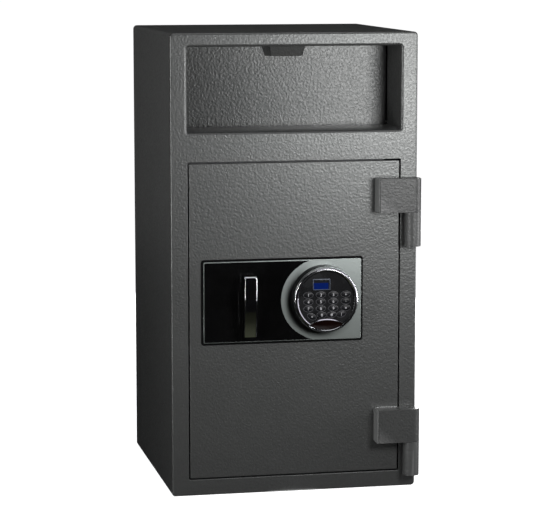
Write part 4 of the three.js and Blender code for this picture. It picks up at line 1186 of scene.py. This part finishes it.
def ring_profile(radius, height):
    """Pairs of radius and height over the ring, in broad facets. The lengths left free are solved."""
    wall, spans = height * RING_WALL_SHARE, in_radians(RING_SPANS)
    inward, upward = RING_WIDTH - RING_LIP, height - wall
    for start, end, length in spans:
        if length:
            reach = span_reach(start, end)
            inward, upward = inward - reach[0] * length, upward - reach[1] * length
    (p, q), (r, s) = [span_reach(start, end) for start, end, length in spans if not length]
    scale = p * s - q * r
    free = [(upward * p - inward * q) / scale, (inward * s - upward * r) / scale]
    profile = [(radius, 0), (radius, wall)]
    for start, end, length in spans:
        profile += turning_line(profile[-1], start, end, length or free.pop())
    spans = in_radians(LIP_SPANS)
    reaches = [span_reach(start, end)[0] for start, end, _ in spans]
    rest = RING_LIP - sum(length * reach for (_, _, length), reach in zip(spans, reaches) if length)
    for (start, end, length), reach in zip(spans, reaches):
        profile += turning_line(profile[-1], start, end, length or rest / reach)
    return [*profile, (radius - RING_WIDTH, 0)]


def keypad_ring(hatch):
    """The chrome ring, open where the battery hatch passes through it."""
    low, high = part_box("keypad_ring")
    radius, height = (high.x - low.x) / 2, high.y - low.y
    centre = ((low.x + high.x) / 2, high.y, (low.z + high.z) / 2)
    opening = stacked(hatch, high.y, [(-HATCH_GAP, -CUT_OVERRUN), (-HATCH_GAP, height + CUT_OVERRUN)])
    return cut_away(turned(ring_profile(radius, height), centre, TOWARDS_VIEWER, RING_SIDES, True), opening)


def key_place(number):
    """The middle of a key and its turn. Only the last row is turned, to follow the hatch."""
    middle = centre_of(f"key_{number:02d}")
    row_start = KEY_COUNT - len(LAST_ROW_TURNS)
    turn = LAST_ROW_TURNS[number - 1 - row_start] if number > row_start else 0.0
    return middle.x, middle.z, turn


def key_collars(width):
    """A raised lip on the keypad's face round each key."""
    face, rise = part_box("keypad_face")[0].y, width * COLLAR_RISE_SHARE
    lip = [(-COLLAR_GAP - width * outward, rise * upward) for outward, upward in COLLAR_SHARES]
    places = [key_place(number) for number in range(1, KEY_COUNT + 1)]
    return merged([stacked(oval(x, z, *KEY_HALF_SIZES, turn), face, lip, True) for x, z, turn in places])


def display_parts():
    """The display's rounded bezel, and the glass inside it."""
    low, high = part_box("display_window")
    outline, depth = front_outline("display_window", rounded_box, BEZEL_WIDTH), high.y - low.y
    bezel = [(0, 0), *rounding(0, depth * (1 - BEZEL_ROUND_SHARE), depth * BEZEL_ROUND_SHARE, BEZEL_STEPS)]
    bezel += [(BEZEL_WIDTH * inward, depth * upward) for inward, upward in BEZEL_INNER_SHARES]
    glass = [(BEZEL_WIDTH * inward, depth * upward) for inward, upward in GLASS_SHARES]
    return stacked(outline, high.y, bezel, True), stacked(outline, high.y, glass)


def hatch_parts(hatch):
    """The battery hatch's bevelled rim, and the dish inside it for the thumb."""
    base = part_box("keypad_ring")[1].y
    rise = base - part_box("battery_hatch")[0].y
    bevel = HATCH_RIM * HATCH_BEVEL_SHARE
    rim = [(0, 0), (0, rise - bevel * math.tan(HATCH_TILT)), (bevel, rise),
           (HATCH_RIM, rise - HATCH_RIM * HATCH_INNER_SHARE), (HATCH_RIM, 0)]
    edge, top = HATCH_RIM * DISH_EDGE_SHARE, rise - HATCH_RIM * DISH_DROP_SHARE
    dish = [(edge, 0), (edge, top)]
    dish += [(edge, top - HATCH_SCOOP * (1 - share ** 2), share) for share in DISH_RING_SHARES]
    return stacked(hatch, base, rim, True), stacked(hatch, base, dish)


class SAFE_OT_keypad(bpy.types.Operator):
    """Keypad housing, chrome ring, face with its key collars, display and battery hatch"""

    bl_idname = "safe.keypad"
    bl_label = "Keypad"

    def execute(self, context):
        door = body_of("keypad_face")
        hatch = front_outline("battery_hatch", lens)
        dress("keypad_housing", "housing_black", HOUSING_EDGE, 3)
        stand_in("keypad_ring", keypad_ring(hatch), "chrome_plate")
        dress("keypad_face", "face_plastic", FACE_EDGE, 3)
        make_piece("key_collars", key_collars(context.scene.safe_panel.collar_width), door, "collar_plastic")
        bezel, glass = display_parts()
        make_piece("display_bezel", bezel, door, "bezel_plastic")
        stand_in("display_window", glass, "display_panel")
        rim, dish = hatch_parts(hatch)
        make_piece("hatch_rim", rim, door, "chrome_plate")
        stand_in("battery_hatch", dish, "smoked_brown")
        return {"FINISHED"}


# Keys

KEY_LIP, KEY_LIP_RISE, KEY_ROUND, KEY_CROWN = 0.0007, 0.00105, 0.0009, 0.0004
KEY_ROUND_STEPS, CROWN_SHARES = 5, (0.8, 0.55, 0.3, 0)
KEY_LABELS = "123+456-789=*0#/"


class SAFE_OT_keys(bpy.types.Operator):
    """Sixteen oval keys with crowned tops and printed numbers"""

    bl_idname = "safe.keys"
    bl_label = "Keys"

    def execute(self, context):
        for number, label in enumerate(KEY_LABELS, 1):
            low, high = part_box(f"key_{number:02d}")
            x, z, turn = key_place(number)
            top = high.y - low.y
            profile = [(-KEY_LIP, 0), (-KEY_LIP, KEY_LIP_RISE), (0, KEY_LIP_RISE)]
            profile += rounding(0, top - KEY_ROUND - KEY_CROWN, KEY_ROUND, KEY_ROUND_STEPS)
            profile += [(KEY_ROUND, top - KEY_CROWN * share ** 2, share) for share in CROWN_SHARES]
            cap = stacked(oval(x, z, *KEY_HALF_SIZES, turn), high.y, profile)
            mark = printing(label, context.scene.safe_panel.legend_height, x, low.y, z, turn)
            stand_in(f"key_{number:02d}", merged([cap, (mark, 1)]), "key_plastic", "printed_legend")
        return {"FINISHED"}


# Lever

LEVER_BOSS, LEVER_ROUND, LEVER_THICKNESS = 0.01, 0.002, 0.009
LEVER_EDGES, LEVER_BORE, LEVER_SOCKET = (0.001, 0.0028), 0.0063, 0.0146
# How far down the lever's front each lean is reached
LEVER_LEAN = ((0.3, 0.0), (0.57, math.radians(5.2)), (1.0, math.radians(7.3)))
LEVER_STEPS, SOCKET_SIDES = 30, 40
BUSH_EDGE, SPINDLE_EDGE = 0.0005, 0.0004


def leaning_line(front, top, tip):
    """Points down the lever's front, which stands upright above and leans back more and more below."""
    found, depth = [], front
    for i in range(LEVER_STEPS):
        share = (i + 1) / LEVER_STEPS
        lean = 0.0
        for (start, low), (end, high) in zip(LEVER_LEAN, LEVER_LEAN[1:]):
            if share > start:
                lean = low + (high - low) * min(1.0, (share - start) / (end - start))
        depth += (top - tip) / LEVER_STEPS * math.tan(lean)
        found.append((depth, top + (tip - top) * share))
    return found


def lever_outline(front, back, top, tip, pivot):
    """The lever from its side: up the boss, over the top, down the front and up the blade's back."""
    boss_top, boss_low = pivot + LEVER_BOSS - LEVER_ROUND, pivot - LEVER_BOSS
    blade_back, bend = front + LEVER_THICKNESS, top - (top - tip) * LEVER_LEAN[0][0]
    outline = [(back, boss_low), (back, boss_top)]
    outline += curve_points((back, boss_top), (back, top), (back - LEVER_ROUND, top), 5)
    outline.append((front + 2 * LEVER_ROUND, top))
    outline += curve_points(outline[-1], (front, top), (front, top - 2 * LEVER_ROUND), 8)
    outline += leaning_line(front, outline[-1][1], tip)
    outline.append((outline[-1][0] + LEVER_THICKNESS, tip))
    outline += curve_points(outline[-1], (blade_back, bend), (blade_back, pivot - 2 * LEVER_BOSS), 12)
    outline += curve_points(outline[-1], (blade_back, boss_low), (back, boss_low), 8)[:-1]
    return outline


class SAFE_OT_lever(bpy.types.Operator):
    """Chrome lever, its bush and the spindle"""

    bl_idname = "safe.lever"
    bl_label = "Lever"

    def execute(self, context):
        low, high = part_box("handle_lever")
        centre = centre_of("handle_bush")
        outline = lever_outline(low.y, high.y, high.z, low.z, centre.z)
        socket = turned([(0, 0), (LEVER_BORE, 0), (LEVER_BORE, LEVER_SOCKET), (0, LEVER_SOCKET)],
                        (centre.x, high.y + CUT_OVERRUN, centre.z), TOWARDS_VIEWER, SOCKET_SIDES)
        lever = cut_away(extruded(outline, low.x, high.x, *LEVER_EDGES), socket)
        stand_in("handle_lever", lever, "lever_chrome")
        dress("handle_bush", "black_rubber", BUSH_EDGE, 3)
        dress("handle_spindle", "zinc_plating", SPINDLE_EDGE)
        return {"FINISHED"}


# Boltwork

BOLTWORK_EDGE, LOCK_CASE_EDGE = 0.0004, 0.0008
BOLTWORK_FINISHES = {
    "bolt_carriage": "zinc_plating",
    "live_bolt_bottom": "ground_steel",
    "live_bolt_middle": "ground_steel",
    "live_bolt_top": "ground_steel",
    "guide_stud_lower": "zinc_plating",
    "guide_stud_upper": "zinc_plating",
}


class SAFE_OT_boltwork(bpy.types.Operator):
    """Carriage, live bolts, guide studs and lock case inside the door"""

    bl_idname = "safe.boltwork"
    bl_label = "Boltwork"

    def execute(self, context):
        for node, finish in BOLTWORK_FINISHES.items():
            dress(node, finish, BOLTWORK_EDGE)
        dress("lock_case", "cast_metal", LOCK_CASE_EDGE)
        return {"FINISHED"}


# Stage

# Each lamp: the setting for its power, its place, the point it faces, and its width and height
LAMPS = {
    "key_softbox": ("key_power", (0.38, -1.02, 0.59), (0.14, -0.18, 0.5), (0.32, 0.32)),
    "rim_strip": ("rim_power", (1.3, -0.42, 0.56), (0.0, -0.2, 0.45), (0.1, 1.04)),
    "edge_strip": ("edge_power", (-1.15, -0.9, 0.54), (-0.1, -0.18, 0.5), (0.08, 0.96)),
    "back_softbox": ("back_power", (0.55, 1.7, 0.36), (0.0, 0.18, 0.38), (0.9, 0.56)),
}
FLOOR_REACH, FLOOR_GLOW, FLOOR_ROUGHNESS, FLOOR_WHITE = 60.0, 0.9, 0.9, (0.9, 0.9, 0.9, 1)
CLOTH_HEIGHT, CLOTH_PATCH, CLOTH_TINT, CLOTH_FADED_TINT = 0.001, 0.3, 0.8, 0.12
SURROUND_SIDES = 72
MAT_ARC, MAT_RADII, MAT_FADE = (math.radians(-112), math.radians(-62)), (0.5, 1.0), (0.62, 0.98)
CARD_ARC, CARD_RADIUS, CARD_HEIGHT = (math.radians(92), math.radians(135)), 2.8, 2.2
# The bright arch: the turns round the ring and the tilts of its surface that mirror it, and its distance
ARCH_TURNS = (math.radians(-4), math.radians(108))
ARCH_TILT, ARCH_SPREADS = math.radians(28), (math.radians(5), math.radians(2))
ARCH_REACH = 1.25
CAMERA_SENSOR, CAMERA_REACH = 36, 200


def softbox(name, place, target, size, power):
    """An area lamp that faces a point."""
    lamp = bpy.data.lights.new(name, "AREA")
    lamp.shape = "RECTANGLE"
    lamp.size, lamp.size_y = size
    lamp.energy = power
    obj = add_object(name, lamp)
    obj.location = place
    obj.visible_camera = False
    obj.rotation_euler = (Vector(target) - Vector(place)).to_track_quat("-Z", "Y").to_euler()
    return obj


def seen(tree):
    """One for rays from the camera and for those that metal or glass sends on, and nothing for the rest."""
    path = put(tree, "ShaderNodeLightPath").outputs
    mirrored = maths(tree, "MAXIMUM", path["Is Glossy Ray"], path["Is Transmission Ray"])
    return maths(tree, "MAXIMUM", path["Is Camera Ray"], mirrored)


def floor_finish(colour):
    """A pale floor that keeps the object's shadow and is white where it is seen, also in metal and glass."""
    material, tree, shader = new_material("pale_floor")
    feed(tree, shader, base_color=colour, roughness=FLOOR_ROUGHNESS)
    white = put(tree, "ShaderNodeBsdfDiffuse", {"Color": FLOOR_WHITE})
    lift = put(tree, "ShaderNodeEmission", {"Color": (*WHITE, 1), "Strength": FLOOR_GLOW})
    bright = put(tree, "ShaderNodeAddShader", {0: white.outputs[0], 1: lift.outputs[0]})
    mix = put(tree, "ShaderNodeMixShader", {0: seen(tree), 1: shader.outputs[0], 2: bright.outputs[0]})
    tree.links.new(mix.outputs[0], tree.nodes["Material Output"].inputs["Surface"])
    return material


def drape_finish(name, colour, fade=None):
    """Dull cloth that gives off its own faint tone, even or dimmer from one radius to another."""
    material, tree, shader = new_material(name)
    folds = place_group(tree, "Fine grain", patch_size=CLOTH_PATCH)["Patches"]
    tone = blend_colours(tree, folds, colour, shaded(colour, CLOTH_TINT))
    if fade:
        away = vector_maths(tree, "LENGTH", object_place(tree), output="Value")
        tone = blend_colours(tree, ramp(tree, away, *fade), tone, shaded(colour, CLOTH_FADED_TINT))
    feed(tree, shader, base_color=BLACK, roughness=1.0, specular_ior_level=0.0)
    feed(tree, shader, emission_color=tone, emission_strength=1.0)
    return material


def stage_piece(name, bm, finish, seen_by_camera=False):
    """A stage surface. One that the camera doesn't see only shows in reflections and blocks no light."""
    piece = add_object(name, as_mesh(name, bm))
    piece.data.materials.append(finish)
    if not seen_by_camera:
        piece.visible_camera = piece.visible_diffuse = False
        piece.visible_shadow = piece.visible_transmission = False
    return piece


def strip(columns):
    """A surface over columns of points that stand side by side."""
    bm = bmesh.new()
    made = [[bm.verts.new(point) for point in column] for column in columns]
    for left, right in zip(made, made[1:]):
        for i in range(len(left) - 1):
            bm.faces.new((left[i], right[i], right[i + 1], left[i + 1]))
    return bm


def swept(profile, start, end):
    """Turns an open line of radius and height pairs about the upright axis, from one angle to another."""
    angles = [start + (end - start) * i / SURROUND_SIDES for i in range(SURROUND_SIDES + 1)]
    return strip([[(r * math.cos(a), r * math.sin(a), z) for r, z in profile] for a in angles])


def mirrored_from(point, eye, turn, tilt):
    """The way a ray from the eye leaves a point whose surface is tilted from the front, in the given turn."""
    normal = Vector((math.cos(turn) * math.sin(tilt), -math.cos(tilt), math.sin(turn) * math.sin(tilt)))
    return (Vector(point) - Vector(eye)).normalized().reflect(normal)


def bright_arch(eye):
    """The surface that the keypad ring mirrors to the eye along its upper right."""
    middle = centre_of("keypad_ring")
    rows = []
    for i in range(SURROUND_SIDES + 1):
        turn, spread = [a + (b - a) * i / SURROUND_SIDES for a, b in (ARCH_TURNS, ARCH_SPREADS)]
        ways = [mirrored_from(middle, eye, turn, ARCH_TILT + side * spread) for side in (-1, 1)]
        rows.append([middle + ARCH_REACH * way for way in ways])
    return strip(rows)


class SAFE_OT_stage(bpy.types.Operator):
    """Floor, surroundings, drapes, lamps and the camera at the photograph's angle"""

    bl_idname = "safe.stage"
    bl_label = "Stage"

    def execute(self, context):
        look = context.scene.safe_stage
        floor = strip([[(x * FLOOR_REACH, y * FLOOR_REACH, 0) for y in (-1, 1)] for x in (-1, 1)])
        stage_piece("floor", floor, floor_finish(look.floor_colour), True)

        drapes = [(look.bare_floor, CLOTH_HEIGHT), (look.drape_radius, CLOTH_HEIGHT),
                  (look.drape_radius, look.drape_height)]
        surround = swept(drapes, 0, 2 * math.pi)
        stage_piece("dark_drapes", surround, drape_finish("dark_cloth", look.drape_colour))
        mat = swept([(radius, 2 * CLOTH_HEIGHT) for radius in MAT_RADII], *MAT_ARC)
        stage_piece("olive_mat", mat, drape_finish("olive_cloth", look.mat_colour, MAT_FADE))
        card = swept([(CARD_RADIUS, CLOTH_HEIGHT), (CARD_RADIUS, CARD_HEIGHT)], *CARD_ARC)
        stage_piece("grey_card", card, drape_finish("grey_card", look.card_colour))
        arch = bright_arch(look.camera_place)
        stage_piece("bright_arch", arch, drape_finish("bright_cloth", look.arch_colour))

        world = bpy.data.worlds.new("surroundings")
        world.use_nodes = True
        tree = world.node_tree
        tone = blend_colours(tree, seen(tree), look.world_colour, WHITE)
        tree.links.new(tone, tree.nodes["Background"].inputs["Color"])
        context.scene.world = world
        for name, (power, *placing) in LAMPS.items():
            softbox(name, *placing, getattr(look, power))

        camera = bpy.data.cameras.new("camera")
        camera.sensor_width = CAMERA_SENSOR
        camera.lens = look.lens
        camera.clip_end = CAMERA_REACH
        obj = add_object("camera", camera)
        obj.location = look.camera_place
        obj.rotation_euler = look.camera_turn
        context.scene.camera = obj
        context.scene.view_settings.view_transform = "Standard"
        return {"FINISHED"}


OPERATORS = (
    SAFE_OT_cabinet,
    SAFE_OT_hopper,
    SAFE_OT_door,
    SAFE_OT_hinges,
    SAFE_OT_lock_panel,
    SAFE_OT_keypad,
    SAFE_OT_keys,
    SAFE_OT_lever,
    SAFE_OT_boltwork,
    SAFE_OT_stage,
)
SETTINGS = {
    "safe_paint": SafePaintSettings,
    "safe_panel": SafePanelSettings,
    "safe_metal": SafeMetalSettings,
    "safe_stage": SafeStageSettings,
}


class SAFE_PT_looks(bpy.types.Panel):
    """Settings and operators for the drop safe"""

    bl_label = "Drop safe"
    bl_idname = "SAFE_PT_looks"
    bl_space_type = "VIEW_3D"
    bl_region_type = "UI"
    bl_category = "Drop safe"

    def draw(self, context):
        for attribute, group in SETTINGS.items():
            box = self.layout.box()
            box.label(text=group.__doc__)
            for name in group.__annotations__:
                box.prop(getattr(context.scene, attribute), name)
        for operator in OPERATORS:
            self.layout.operator(operator.bl_idname)


def register():
    """Adds the settings, the operators and the panel to Blender."""
    for cls in (*SETTINGS.values(), *OPERATORS, SAFE_PT_looks):
        bpy.utils.register_class(cls)
    for attribute, group in SETTINGS.items():
        setattr(bpy.types.Scene, attribute, PointerProperty(type=group))


def unregister():
    """Takes the settings, the operators and the panel out again."""
    for attribute in SETTINGS:
        delattr(bpy.types.Scene, attribute)
    for cls in reversed((*SETTINGS.values(), *OPERATORS, SAFE_PT_looks)):
        bpy.utils.unregister_class(cls)


def main():
    """Adds the settings and runs every operator."""
    register()
    for operator in OPERATORS:
        group, name = operator.bl_idname.split(".")
        getattr(getattr(bpy.ops, group), name)()


if __name__ == "__main__":
    main()
